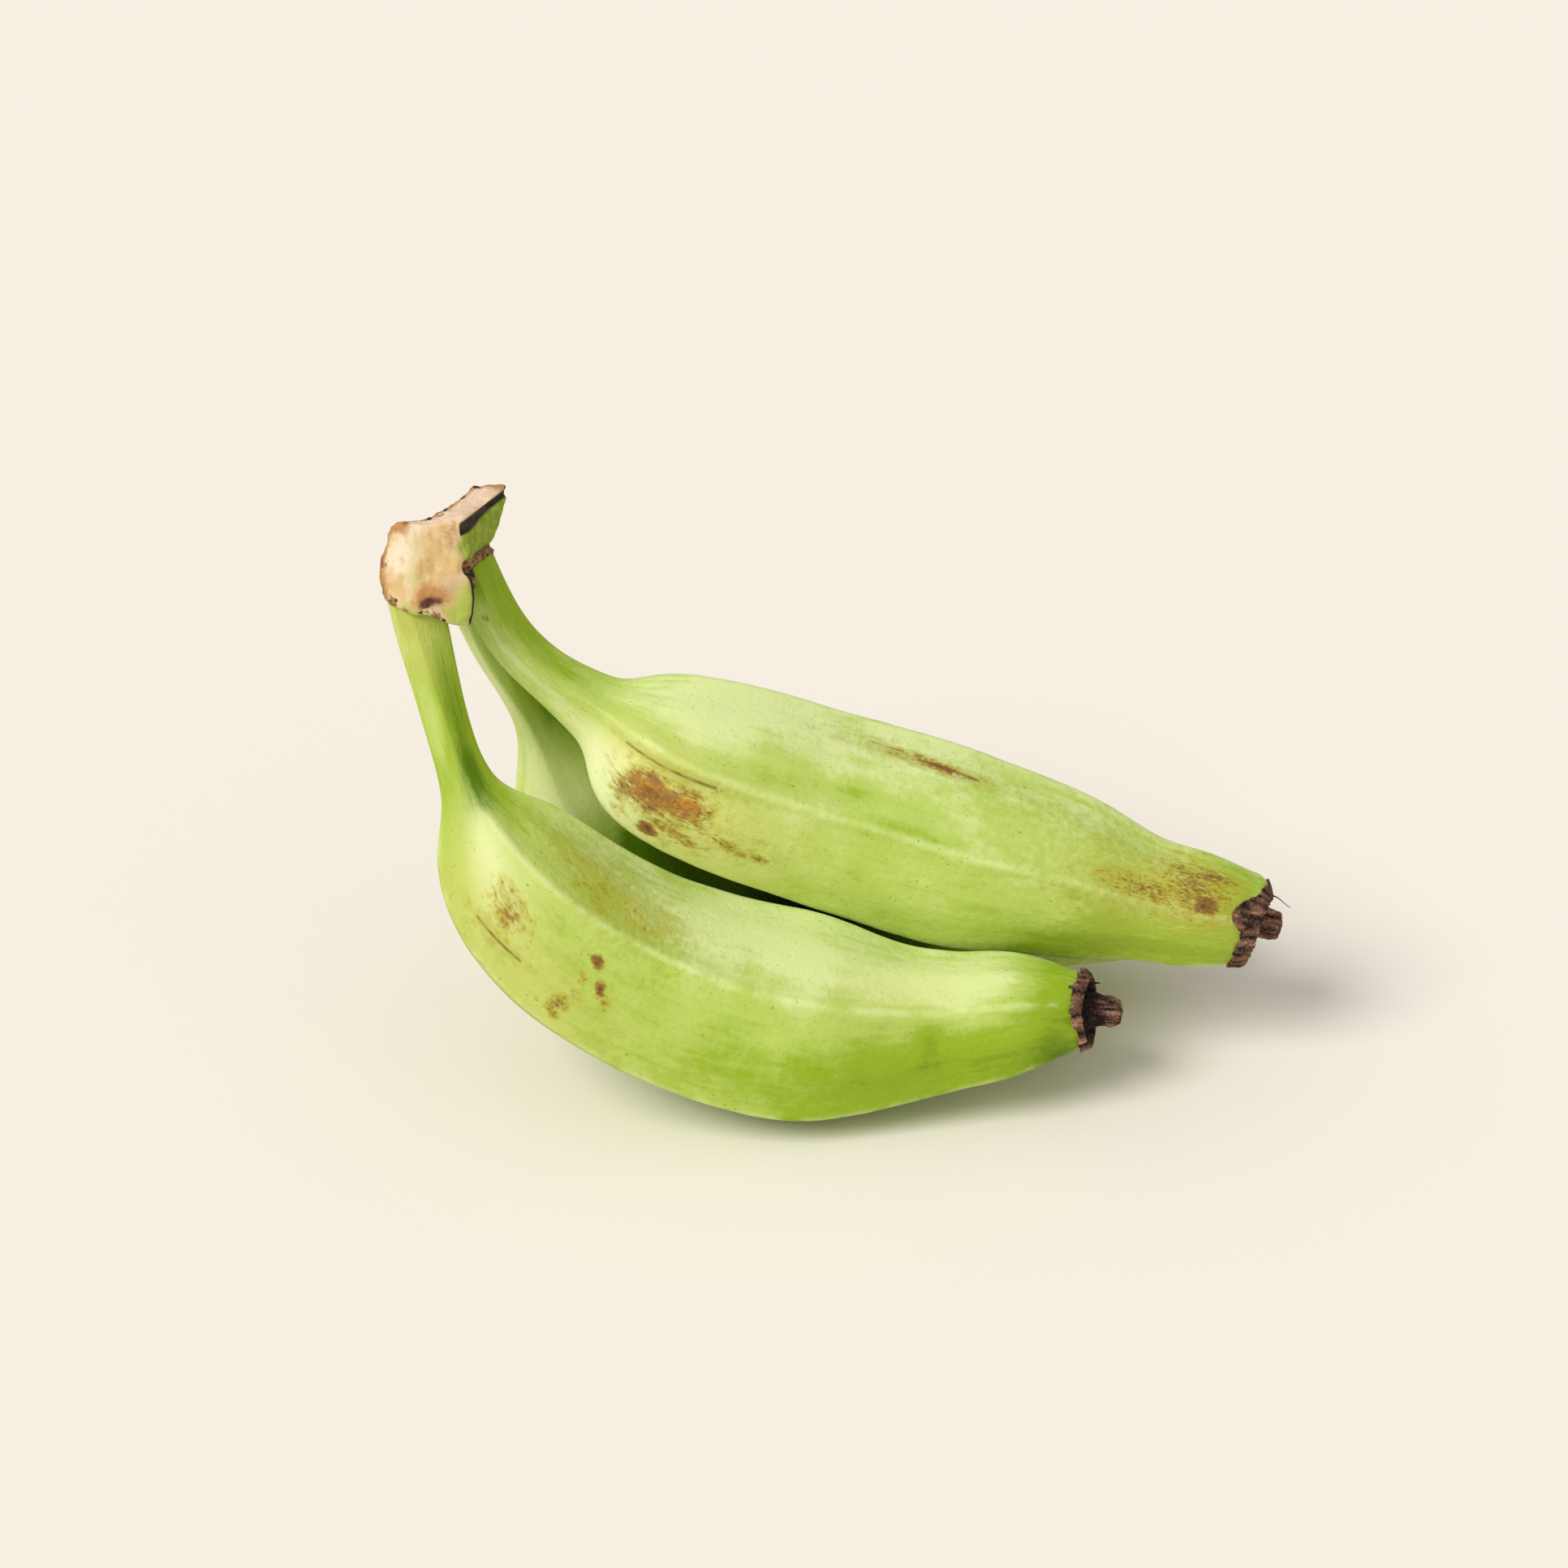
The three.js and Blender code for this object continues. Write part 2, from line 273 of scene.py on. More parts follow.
class Paint:
    """A material whose nodes are laid down by short named steps."""

    def __init__(self, name: str, roughness: float, gloss: float) -> None:
        """Starts a material with a plain shader.

        Args:
            name: the material's name.
            roughness: the shader's even roughness, until something is linked to it.
            gloss: how strongly the surface shines straight on, 0.5 for most things.
        """
        self.material = bpy.data.materials.new(name)
        self.material.use_nodes = True
        self.tree = self.material.node_tree
        self.shader = self.tree.nodes["Principled BSDF"]
        self.shader.inputs["Roughness"].default_value = roughness
        self.shader.inputs["Specular IOR Level"].default_value = gloss

    def feed(self, socket: Socket, value: Feed) -> None:
        """Links a socket to another, or sets its value.

        Args:
            socket: the input to feed.
            value: what goes into it.
        """
        if isinstance(value, bpy.types.NodeSocket):
            self.tree.links.new(value, socket)
        elif isinstance(value, tuple) and socket.type == "RGBA":
            socket.default_value = (*value, 1.0)
        else:
            socket.default_value = value

    def field(self, name: str, key: str = "Fac") -> Socket:
        """Reads a field.

        Args:
            name: the field's name.
            key: "Fac" for a number, "Vector" for a vector.

        Returns:
            Its values.
        """
        node = self.tree.nodes.new("ShaderNodeAttribute")
        node.attribute_name = name
        return node.outputs[key]

    def scaled(self, vector: Socket, scale: Triple) -> Socket:
        """Stretches a vector along its axes.

        Args:
            vector: the vector.
            scale: what each axis is multiplied by.

        Returns:
            The stretched vector.
        """
        node = self.tree.nodes.new("ShaderNodeVectorMath")
        node.operation = "MULTIPLY"
        self.feed(node.inputs[0], vector)
        node.inputs[1].default_value = scale
        return node.outputs[0]

    def grain(self, vector: Socket, scale: float, detail: float, warp: float = 0.0) -> Socket:
        """Lays soft noise.

        Args:
            vector: position.
            scale: humps to a unit of the vector.
            detail: how many finer sets of humps lie on the largest.
            warp: how far the humps are drawn into swirls.

        Returns:
            The noise, from 0 to 1 and 0.5 on the whole.
        """
        node = self.tree.nodes.new("ShaderNodeTexNoise")
        self.feed(node.inputs["Vector"], vector)
        node.inputs["Scale"].default_value = scale
        node.inputs["Detail"].default_value = detail
        node.inputs["Distortion"].default_value = warp
        return node.outputs["Fac"]

    def cells(self, vector: Socket, scale: float) -> tuple[Socket, Socket]:
        """Scatters dots at random.

        Args:
            vector: position.
            scale: dots to a unit of the vector.

        Returns:
            Distance from the nearest dot's middle, and that dot's random number.
        """
        node = self.tree.nodes.new("ShaderNodeTexVoronoi")
        self.feed(node.inputs["Vector"], vector)
        node.inputs["Scale"].default_value = scale
        chance = self.tree.nodes.new("ShaderNodeSeparateColor")
        self.feed(chance.inputs[0], node.outputs["Color"])
        return node.outputs["Distance"], chance.outputs[0]

    def reckon(self, operation: str, first: Feed, second: Feed) -> Socket:
        """Takes one step of arithmetic.

        Args:
            operation: ADD or MULTIPLY.
            first: the first number.
            second: the second number.

        Returns:
            The result.
        """
        node = self.tree.nodes.new("ShaderNodeMath")
        node.operation = operation
        self.feed(node.inputs[0], first)
        self.feed(node.inputs[1], second)
        return node.outputs[0]

    def times(self, first: Feed, second: Feed) -> Socket:
        """The product of two values."""
        return self.reckon("MULTIPLY", first, second)

    def plus(self, first: Feed, second: Feed) -> Socket:
        """The sum of two values."""
        return self.reckon("ADD", first, second)

    def weighed(self, *parts: tuple[Feed, float]) -> Socket:
        """The sum of values, each times its own weight."""
        return reduce(self.plus, [self.times(value, weight) for value, weight in parts])

    def stirred(self, value: Feed, grains: Socket, amount: float) -> Socket:
        """A value with noise added, which raises it as much as it lowers it."""
        return self.plus(value, self.times(self.plus(grains, -0.5), amount))

    def step(self, value: Feed, low: float, high: float, top: float = 1.0) -> Socket:
        """Makes a smooth step.

        Args:
            value: what is stepped.
            low: where the step is still 0; it may be the larger of the two.
            high: where it is at its top.
            top: how high it is there.

        Returns:
            A value from 0 to `top`.
        """
        node = self.tree.nodes.new("ShaderNodeMapRange")
        node.interpolation_type = "SMOOTHSTEP"
        self.feed(node.inputs["Value"], value)
        node.inputs["From Min"].default_value = min(low, high)
        node.inputs["From Max"].default_value = max(low, high)
        node.inputs["To Min"].default_value = 0.0 if low < high else top
        node.inputs["To Max"].default_value = top if low < high else 0.0
        return node.outputs["Result"]

    def patch(self, name: str, grains: Socket, edge: Edge) -> Socket:
        """Breaks a stored mask up with noise.

        Args:
            name: the mask's field.
            grains: the noise.
            edge: how the noise breaks it up.

        Returns:
            A share from 0 to the edge's top, and 0 wherever the mask is 0.
        """
        mask = self.field(name)
        broken = self.stirred(mask, grains, edge.amount)
        shown = self.step(broken, edge.low, edge.high, edge.top)
        return self.times(shown, self.step(mask, 0.0, edge.fade))

    def blend(self, share: Feed, under: Feed, over: Feed) -> Socket:
        """Lays one colour on another.

        Args:
            share: how much of the upper colour shows, from 0 to 1.
            under: the lower colour.
            over: the upper colour.

        Returns:
            The colour seen.
        """
        node = self.tree.nodes.new("ShaderNodeMix")
        node.data_type = "RGBA"
        self.feed(node.inputs["Factor"], share)
        self.feed(node.inputs[MIX_UNDER], under)
        self.feed(node.inputs[MIX_OVER], over)
        return node.outputs[MIX_RESULT]

    def coats(self, ground: Feed, coats: Iterable[tuple[Feed, Feed]]) -> Feed:
        """Lays coats of colour on a ground, each over the last.

        Args:
            ground: the colour under them all.
            coats: how much of each coat shows, and its colour.

        Returns:
            The colour seen.
        """
        for share, over in coats:
            ground = self.blend(share, ground, over)
        return ground

    def relief(self, *layers: tuple[Socket, float]) -> Socket:
        """Bumps the shader's normal.

        Args:
            layers: each layer's height, and how many millimetres a height of 1 stands for.

        Returns:
            The normal.
        """
        under = None
        for height, depth in layers:
            node = self.tree.nodes.new("ShaderNodeBump")
            node.inputs["Distance"].default_value = depth * MM
            self.feed(node.inputs["Height"], height)
            if under is not None:
                self.feed(node.inputs["Normal"], under)
            under = node.outputs[0]
        return under

    def let_light_in(self, weight: float, depth: float, share: Colour) -> None:
        """Lets light into the surface.

        Args:
            weight: how much of the light goes in.
            depth: how deep it goes, in millimetres.
            share: share of that depth for red, green and blue.
        """
        self.shader.inputs["Subsurface Weight"].default_value = weight
        self.shader.inputs["Subsurface Radius"].default_value = share
        self.shader.inputs["Subsurface Scale"].default_value = depth * MM

    def finish(self, colour: Feed, roughness: Feed, normal: Socket) -> bpy.types.Material:
        """Feeds the shader.

        Args:
            colour: the surface's colour.
            roughness: its roughness.
            normal: its bumped normal.

        Returns:
            The finished material.
        """
        self.feed(self.shader.inputs["Base Color"], colour)
        self.feed(self.shader.inputs["Roughness"], roughness)
        self.feed(self.shader.inputs["Normal"], normal)
        return self.material


@dataclass(frozen=True)
class PeelFinish:
    """Fresh green banana peel: mottled greens, pale ridge lines that are a painted highlight,
    specks, scurf and yellowing.

    The greens are mixed by a tone: under 1 is pale, 1.2 to 1.7 green to strong, over 2 deep, and
    over 2.6 a painted near-black shade in the gaps between the fingers.
    """

    pale: Colour = (0.70, 0.78, 0.33)
    green: Colour = (0.47, 0.60, 0.115)
    strong: Colour = (0.30, 0.44, 0.018)
    # deep green, which the strongest marks also lay as painted shade
    deep: Colour = (0.10, 0.20, 0.002)
    # painted highlight: pale line along the ridges
    ridge: Colour = (0.76, 0.84, 0.38)
    # painted highlight: whitish pale green on the bulges that face the light
    painted_highlight: Colour = (0.86, 0.89, 0.47)
    yellow: Colour = (0.76, 0.73, 0.24)
    speck: Colour = (0.16, 0.22, 0.01)
    ochre: Colour = (0.50, 0.40, 0.03)
    rust: Colour = (0.24, 0.11, 0.02)
    orange: Colour = (0.62, 0.25, 0.03)
    dust: Colour = (0.24, 0.11, 0.075)
    brown: Colour = (0.085, 0.03, 0.012)
    scratch: Colour = (0.20, 0.085, 0.015)
    olive: Colour = (0.36, 0.36, 0.015)
    # painted shade: near-black green where the tone is highest, in the gaps between the fingers
    painted_gap_shade: Colour = (0.012, 0.022, 0.0)

    least_tone: float = 0.27
    least_roughness: float = 0.4
    speck_strength: float = 0.6
    bruise_edge: Edge = Edge(amount=1.8, low=0.1, high=1.0, top=0.45)
    scurf_ground: Edge = Edge(amount=2.4, low=0.0, high=0.8, top=0.7)
    scurf_grains: Edge = Edge(amount=3.4, low=0.3, high=1.3, top=0.9)
    scurf_core: Edge = Edge(amount=3.0, low=1.3, high=2.1, top=0.8)

    def material(self) -> bpy.types.Material:
        """Builds the peel's material.

        Returns:
            The finished material.
        """
        paint = Paint("green_peel", roughness=0.5, gloss=0.14)
        grown = paint.field("grown", "Vector")
        mottle = paint.grain(grown, scale=0.5, detail=5.0)
        pores = paint.grain(grown, scale=1.5, detail=4.0)
        colour = self.greens(paint, grown, mottle, pores)
        colour = self.specks(paint, grown, pores, colour)

        dabs = paint.weighed((mottle, 0.8), (pores, 0.2))
        colour = paint.blend(paint.patch("bruise", dabs, self.bruise_edge), colour, self.olive)
        colour, scurf = self.scurf(paint, grown, pores, colour)

        wavy = paint.plus(paint.field("scratch"), paint.times(mottle, 1.6))
        colour = paint.blend(paint.step(wavy, 1.95, 0.85, 0.8), colour, self.scratch)

        rough = paint.plus(paint.weighed((scurf, 0.3), (mottle, 0.16)), self.least_roughness)
        normal = paint.relief((mottle, 0.22), (pores, 0.09), (scurf, 0.16))
        paint.let_light_in(weight=0.08, depth=1.5, share=(1.0, 0.9, 0.25))
        return paint.finish(colour, rough, normal)

    def greens(self, paint: Paint, grown: Socket, mottle: Socket, pores: Socket) -> Feed:
        """Mixes the peel's greens, in clouds, wisps and faint streaks along the finger, with
        painted shade and painted light from the marks' tone and a painted highlight along the
        ridges.

        Args:
            paint: the material.
            grown: position along and round the finger.
            mottle: the peel's coarse noise.
            pores: the peel's fine noise.

        Returns:
            The colour.
        """
        clouds = paint.grain(grown, scale=0.06, detail=4.0, warp=0.4)
        streaks = paint.grain(paint.scaled(grown, (0.07, 0.8, 0.8)), scale=1.0, detail=4.0)
        drawn_out = paint.scaled(grown, (0.06, 0.26, 0.26))
        wisps = paint.grain(drawn_out, scale=1.0, detail=6.0, warp=0.6)
        # the deep field is both the peel's own deeper green and painted shade, and below 0 painted
        # light
        tone = paint.plus(paint.field("deep"), self.least_tone)
        for grains, share in ((clouds, 0.85), (streaks, 0.25), (mottle, 0.32), (pores, 0.16)):
            tone = paint.plus(tone, paint.times(grains, share))
        tone = paint.plus(tone, paint.step(wisps, 0.42, 0.72, 0.16))
        # painted highlight: a broken pale line along each ridge
        painted_ridge_highlight = paint.step(paint.field("ridge"), 1.7, 0.1, 0.4)
        gaps = paint.step(paint.grain(grown, scale=0.16, detail=3.0), 0.32, 0.6)
        coats = (
            (paint.step(tone, 0.72, 1.25), self.green),
            (paint.step(tone, 1.2, 1.7), self.strong),
            (paint.field("yellow"), self.yellow),
            # painted highlight on the bulges that face the light
            (paint.field("painted_highlight"), self.painted_highlight),
            (paint.times(painted_ridge_highlight, gaps), self.ridge),
            (paint.step(tone, 1.75, 2.5), self.deep),
            # painted shade: the highest tone turns near-black, in the gaps between the fingers
            (paint.step(tone, 2.6, 4.6), self.painted_gap_shade),
        )
        return paint.coats(self.pale, coats)

    def specks(self, paint: Paint, grown: Socket, pores: Socket, colour: Feed) -> Feed:
        """Lays small dark specks on a colour: some larger ones, and clouds of fine ones.

        Args:
            paint: the material.
            grown: position along and round the finger.
            pores: the peel's fine noise.
            colour: the colour under the specks.

        Returns:
            The colour with its specks.
        """
        longer = paint.scaled(grown, (0.6, 1.0, 1.0))
        for scale, size, rare in ((0.45, 0.17, 0.5), (1.1, 0.26, 0.4)):
            far, chance = paint.cells(longer, scale)
            near = paint.step(paint.stirred(far, pores, 0.35), size, size / 3)
            dots = paint.times(near, paint.step(chance, rare, rare + 0.2))
            clouds = paint.grain(grown, scale=0.11 * scale / 0.45, detail=2.0)
            where = paint.step(clouds, 0.42, 0.62, self.speck_strength)
            colour = paint.blend(paint.times(dots, where), colour, self.speck)
        return colour

    def scurf(
        self, paint: Paint, grown: Socket, pores: Socket, colour: Feed
    ) -> tuple[Feed, Socket]:
        """Lays corky scurf on a colour: an ochre ground, rust grains, dusty brown where dense.

        Args:
            paint: the material.
            grown: position along and round the finger.
            pores: the peel's fine noise; not used.
            colour: the colour under the scurf.

        Returns:
            The colour, and the mask of the grains.
        """
        mask = paint.field("scurf")
        ripe = paint.step(paint.field("yellow"), 0.3, 0.6)
        drawn_out = paint.scaled(grown, (0.75, 1.0, 1.0))
        longer = paint.scaled(grown, (0.8, 1.0, 1.0))
        clumps = paint.grain(drawn_out, scale=0.42, detail=4.0, warp=0.4)
        crumbs = paint.grain(longer, scale=1.1, detail=3.0)
        patches = paint.grain(grown, scale=0.22, detail=3.0)
        fine = paint.weighed((clumps, 0.4), (crumbs, 0.6))

        warm = paint.times(paint.step(mask, 0.55, 1.15, 0.75), ripe)
        bright = paint.times(paint.step(crumbs, 0.42, 0.66), paint.step(mask, 0.45, 1.1))
        bright = paint.times(bright, ripe)
        dense = paint.times(paint.step(mask, 0.3, 0.9), paint.step(patches, 0.4, 0.56))
        far, chance = paint.cells(longer, 1.1)
        dots = paint.times(paint.step(far, 0.5, 0.05), paint.step(chance, 0.35, 0.6))

        ground = paint.patch("scurf", clumps, self.scurf_ground)
        grains = paint.patch("scurf", fine, self.scurf_grains)
        coats = (
            (ground, paint.blend(warm, self.ochre, self.orange)),
            (grains, paint.blend(bright, self.rust, self.orange)),
            (paint.times(dense, paint.step(fine, 0.35, 0.65, 0.65)), self.dust),
            (paint.patch("scurf", fine, self.scurf_core), self.brown),
            (paint.times(dots, paint.step(mask, 0.1, 0.9, 0.65)), self.brown),
        )
        return paint.coats(colour, coats), grains


@dataclass(frozen=True)
class CutStalkFinish:
    """The cut crown: spongy cream and tan flesh, dried brown rims, green where peel is left."""

    tan: Colour = (0.70, 0.49, 0.21)
    cream: Colour = (0.90, 0.74, 0.53)
    strip: Colour = (0.86, 0.63, 0.44)
    pith: Colour = (0.64, 0.45, 0.26)
    lime: Colour = (0.42, 0.48, 0.085)
    green: Colour = (0.22, 0.30, 0.012)
    shade: Colour = (0.015, 0.011, 0.003)
    toasted: Colour = (0.50, 0.25, 0.085)
    rim: Colour = (0.24, 0.12, 0.05)
    dark: Colour = (0.03, 0.02, 0.012)
    slate: Colour = (0.07, 0.055, 0.04)
    stain: Colour = (0.12, 0.04, 0.022)
    least_roughness: float = 0.65

    def material(self) -> bpy.types.Material:
        """Builds the cut stalk's material.

        Returns:
            The finished material.
        """
        paint = Paint("cut_stalk", roughness=0.8, gloss=0.2)
        place = paint.field("place", "Vector")
        fibres = paint.grain(paint.scaled(place, (0.8, 0.8, 0.16)), scale=1.0, detail=4.0)
        flesh = paint.grain(place, scale=0.26, detail=6.0)
        smudges = paint.grain(place, scale=0.5, detail=4.0, warp=0.5)
        crumbs = paint.grain(place, scale=1.3, detail=5.0)

        tan = paint.blend(paint.step(flesh, 0.38, 0.72, 0.45), self.tan, self.cream)
        warm = paint.weighed((fibres, 0.5), (smudges, 0.7))
        skin = paint.blend(paint.step(smudges, 0.35, 0.7, 0.6), self.green, self.lime)
        cork = paint.blend(paint.step(crumbs, 0.34, 0.5), self.dark, self.rim)
        cork = paint.blend(paint.step(crumbs, 0.5, 0.68, 0.7), cork, self.toasted)
        band = paint.blend(paint.step(flesh, 0.4, 0.65), self.dark, self.slate)
        coats = (
            (paint.patch("cream", flesh, SOFT), self.cream),
            (paint.patch("strip", flesh, SOFT), self.strip),
            (paint.patch("pith", flesh, SOFT), self.pith),
            (paint.step(warm, 0.54, 0.9, 0.5), self.toasted),
            (paint.patch("lime", flesh, SOFT), self.lime),
            (paint.step(paint.field("skin"), 0.25, 0.75), skin),
            (paint.step(paint.field("shade"), 0.35, 0.65), self.shade),
            (paint.patch("toasted", crumbs, SOFT), self.toasted),
            (paint.patch("rim", crumbs, RAGGED), cork),
            (paint.patch("stain", smudges, SOFT), self.stain),
            (paint.step(paint.field("band"), 0.1, 0.75), band),
            (paint.patch("dark", crumbs, RAGGED), self.dark),
        )
        rough = paint.plus(paint.times(flesh, 0.2), self.least_roughness)
        normal = paint.relief((fibres, 0.25), (crumbs, 0.16))
        paint.let_light_in(weight=0.15, depth=1.2, share=(1.0, 0.7, 0.4))
        return paint.finish(paint.coats(tan, coats), rough, normal)


@dataclass(frozen=True)
class DriedFlowerFinish:
    """Dried flower remains: corky brown folds, lighter on their tops and near-black in their
    creases, partly their own browns and partly painted highlight and painted shade.
    """

    # partly painted highlight: the lighter brown on the folds' tops
    ridge: Colour = (0.42, 0.24, 0.14)
    fold: Colour = (0.15, 0.07, 0.042)
    # partly painted shade: near-black in the creases and low in the cup
    crease_and_painted_shade: Colour = (0.016, 0.009, 0.008)
    least_roughness: float = 0.7

    def material(self) -> bpy.types.Material:
        """Builds the dried flower's material.

        Returns:
            The finished material.
        """
        paint = Paint("dried_flower", roughness=0.85, gloss=0.2)
        place = paint.field("place", "Vector")
        crumbs = paint.grain(place, scale=1.6, detail=5.0)
        patches = paint.grain(place, scale=0.35, detail=3.0)
        height = paint.stirred(paint.field("fold"), crumbs, 1.1)
        height = paint.stirred(height, patches, 0.8)
        coats = (
            (paint.step(height, 0.12, 0.5), self.fold),
            (paint.step(height, 0.45, 1.0), self.ridge),
        )
        rough = paint.plus(paint.times(crumbs, 0.2), self.least_roughness)
        return paint.finish(paint.coats(self.crease_and_painted_shade, coats), rough, paint.relief((crumbs, 0.5)))


@dataclass(frozen=True)
class FloorFinish:
    """A plain pale floor."""

    pale: Colour = (0.93, 0.86, 0.76)

    def material(self) -> bpy.types.Material:
        """Builds the floor's material.

        Returns:
            The finished material.
        """
        paint = Paint("pale_floor", roughness=0.9, gloss=0.1)
        paint.feed(paint.shader.inputs["Base Color"], self.pale)
        return paint.material


# ---------- marks on the peel ----------

NO_SCRATCH = 9.0  # a scratch's field where there is none
SCURF_FADE = 0.7  # power by which scurf fades from its middle
SOFT_MARK_REACH = 1.4  # where a soft mark has faded, in its own lengths and widths


class MarkKind(Enum):
    """What a mark on the peel is; its value is the field that the peel's material reads."""

    SCURF = "scurf"
    SCRATCH = "scratch"
    YELLOWING = "yellow"
    BRUISE = "bruise"
    # deeper green, also painted shade on sides turned from the light and in the gaps between
    # fingers; a negative strength is painted light, paler green on faces turned to it
    DEEP_GREEN_AND_PAINTED_SHADING = "deep"
    # painted highlight: whitish patches where a bulge faces the light
    BLOOM = "painted_highlight"
    DENT = "dent"


@dataclass(frozen=True)
class Mark:
    """One mark on a finger's peel.

    Attributes:
        kind: what it is.
        place: its middle along the finger.
        angle: its middle round the finger, in degrees.
        length: its length in millimetres, along the finger when it doesn't lean.
        width: its width in millimetres.
        lean: degrees that its length turns from the finger's line.
        strength: how strong it is in its middle; for a dent, its depth in millimetres.
    """

    kind: MarkKind
    place: float
    angle: float
    length: float
    width: float
    lean: float = 0.0
    strength: float = 1.0

    def spans(self, along: np.ndarray, across: np.ndarray) -> tuple[np.ndarray, np.ndarray]:
        """Measures points from the mark's middle.

        Args:
            along: how far each point lies from it along the finger, in millimetres.
            across: how far it lies from it round the finger, in millimetres.

        Returns:
            The same along the mark's own length, and across it.
        """
        lean = math.radians(self.lean)
        own_along = along * math.cos(lean) + across * math.sin(lean)
        return own_along, across * math.cos(lean) - along * math.sin(lean)

    def lay(self, field: np.ndarray, along: np.ndarray, across: np.ndarray) -> None:
        """Adds the mark to the field of its kind.

        Args:
            field: the field, which is changed. For scratches it holds the distance from the
                nearest one, in its widths.
            along: each point's distance from the middle along the mark.
            across: its distance across the mark.
        """
        if self.kind is MarkKind.SCRATCH:
            beyond = np.maximum(np.abs(along) - self.length / 2, 0.0)
            np.minimum(field, np.hypot(beyond, across) / self.width, out=field)
        elif self.kind is MarkKind.SCURF:
            inside = 1.0 - np.hypot(2 * along / self.length, 2 * across / self.width)
            np.maximum(field, self.strength * np.clip(inside, 0, 1) ** SCURF_FADE, out=field)
        else:
            spread = np.hypot(along / self.length, across / self.width)
            field += self.strength * hump(spread, SOFT_MARK_REACH)


class Peel:
    """A finger's skin as a grid of places along it and angles round it, with its fields."""

    def __init__(self, finger: "Finger") -> None:
        """Lays out the grid.

        Args:
            finger: the finger.
        """
        self.finger = finger
        around, rings = finger.around_steps, finger.rings
        from_ridge = np.arange(around) * 2 * math.pi / around
        body = np.linspace(0.0, finger.length, rings)
        angle = np.radians(finger.turn(body))[:, None] + from_ridge[None, :]
        past = round_about(finger.rim, angle[-1]) - finger.lip
        stretch = smooth(body, finger.length - finger.drawn_length, finger.length)
        place = body[:, None] + stretch[:, None] * past[None, :]
        closed = np.full(around, finger.length - finger.lip_depth)
        closing = [place[-1] - finger.lip_step] + 3 * [closed]
        self.place = np.concatenate([place, closing])
        self.angle = np.concatenate([angle, np.repeat(angle[-1:], 4, axis=0)])
        self.share = np.concatenate([np.ones(rings), finger.lip_shares])[:, None]
        self.away = off_ridge(from_ridge)[None, :]
        self.girth = finger.girth(self.place)
        self.marked = self.marks()

    def bend(self) -> np.ndarray:
        """Arc from each point to its nearest ridge, in millimetres."""
        return self.away * self.girth

    def points(self) -> np.ndarray:
        """Shapes the skin.

        Returns:
            The grid's points, in millimetres.
        """
        finger = self.finger
        reach = finger.reach(self.place, self.away) * self.share
        flat = finger.around(self.place, self.angle, reach)
        lift = self.lift(flat)
        points = finger.around(self.place, self.angle, reach + lift * self.share)
        if finger.on_table:
            points[..., 2] = np.maximum(points[..., 2], 0.0)
        return points

    def lift(self, points: np.ndarray) -> np.ndarray:
        """How far the grown skin stands off the even shape.

        Args:
            points: the even shape's points.

        Returns:
            Millimetres for each point.
        """
        finger = self.finger
        flat = points.reshape(-1, 3)
        shape = self.place.shape
        body = smooth(self.girth, 6.0, 16.0)
        rib = finger.rib_height * hump(self.bend(), finger.rib_width)
        rib -= finger.groove_depth * hump(self.bend() - finger.groove_away, finger.groove_width)
        waves = 0.3 * ripple(flat, 17.0, finger.seed).reshape(shape)
        waves += 0.1 * ripple(flat, 6.0, finger.seed + 1).reshape(shape)
        calm = smooth(self.place, finger.length + 1.0, finger.length - 12.0)
        return (rib + waves) * (0.25 + 0.75 * body) * calm - self.marked[MarkKind.DENT.value]

    def marks(self) -> dict[str, np.ndarray]:
        """Adds up the finger's marks.

        Returns:
            Values at each point of the grid, by field.
        """
        found = {kind.value: np.zeros(self.place.shape) for kind in MarkKind}
        found[MarkKind.SCRATCH.value] += NO_SCRATCH
        for mark in self.finger.marks:
            along = self.place - mark.place
            turn = self.angle - math.radians(mark.angle)
            turn = (turn + math.pi) % (2 * math.pi) - math.pi
            across = turn * self.finger.radius.at(mark.place)
            mark.lay(found[mark.kind.value], *mark.spans(along, across))
        return found

    def fields(self) -> dict[str, np.ndarray]:
        """Gathers what the peel's material reads.

        Returns:
            Values at each point of the grid, by field.
        """
        # the ridge field places the painted ridge highlight; on the necks it is pushed away, so
        # there the highlight fades
        faint = 1.3 * smooth(self.girth, 14.0, 6.0)
        turned = np.broadcast_to(self.angle, self.place.shape)
        own_grain = self.place + 40 * self.finger.seed
        rolled = (GRAIN_RADIUS * np.cos(turned), GRAIN_RADIUS * np.sin(turned))
        grown = np.stack([own_grain, *rolled], axis=-1)
        return {**self.marked, "ridge": self.bend() + faint, "grown": grown}


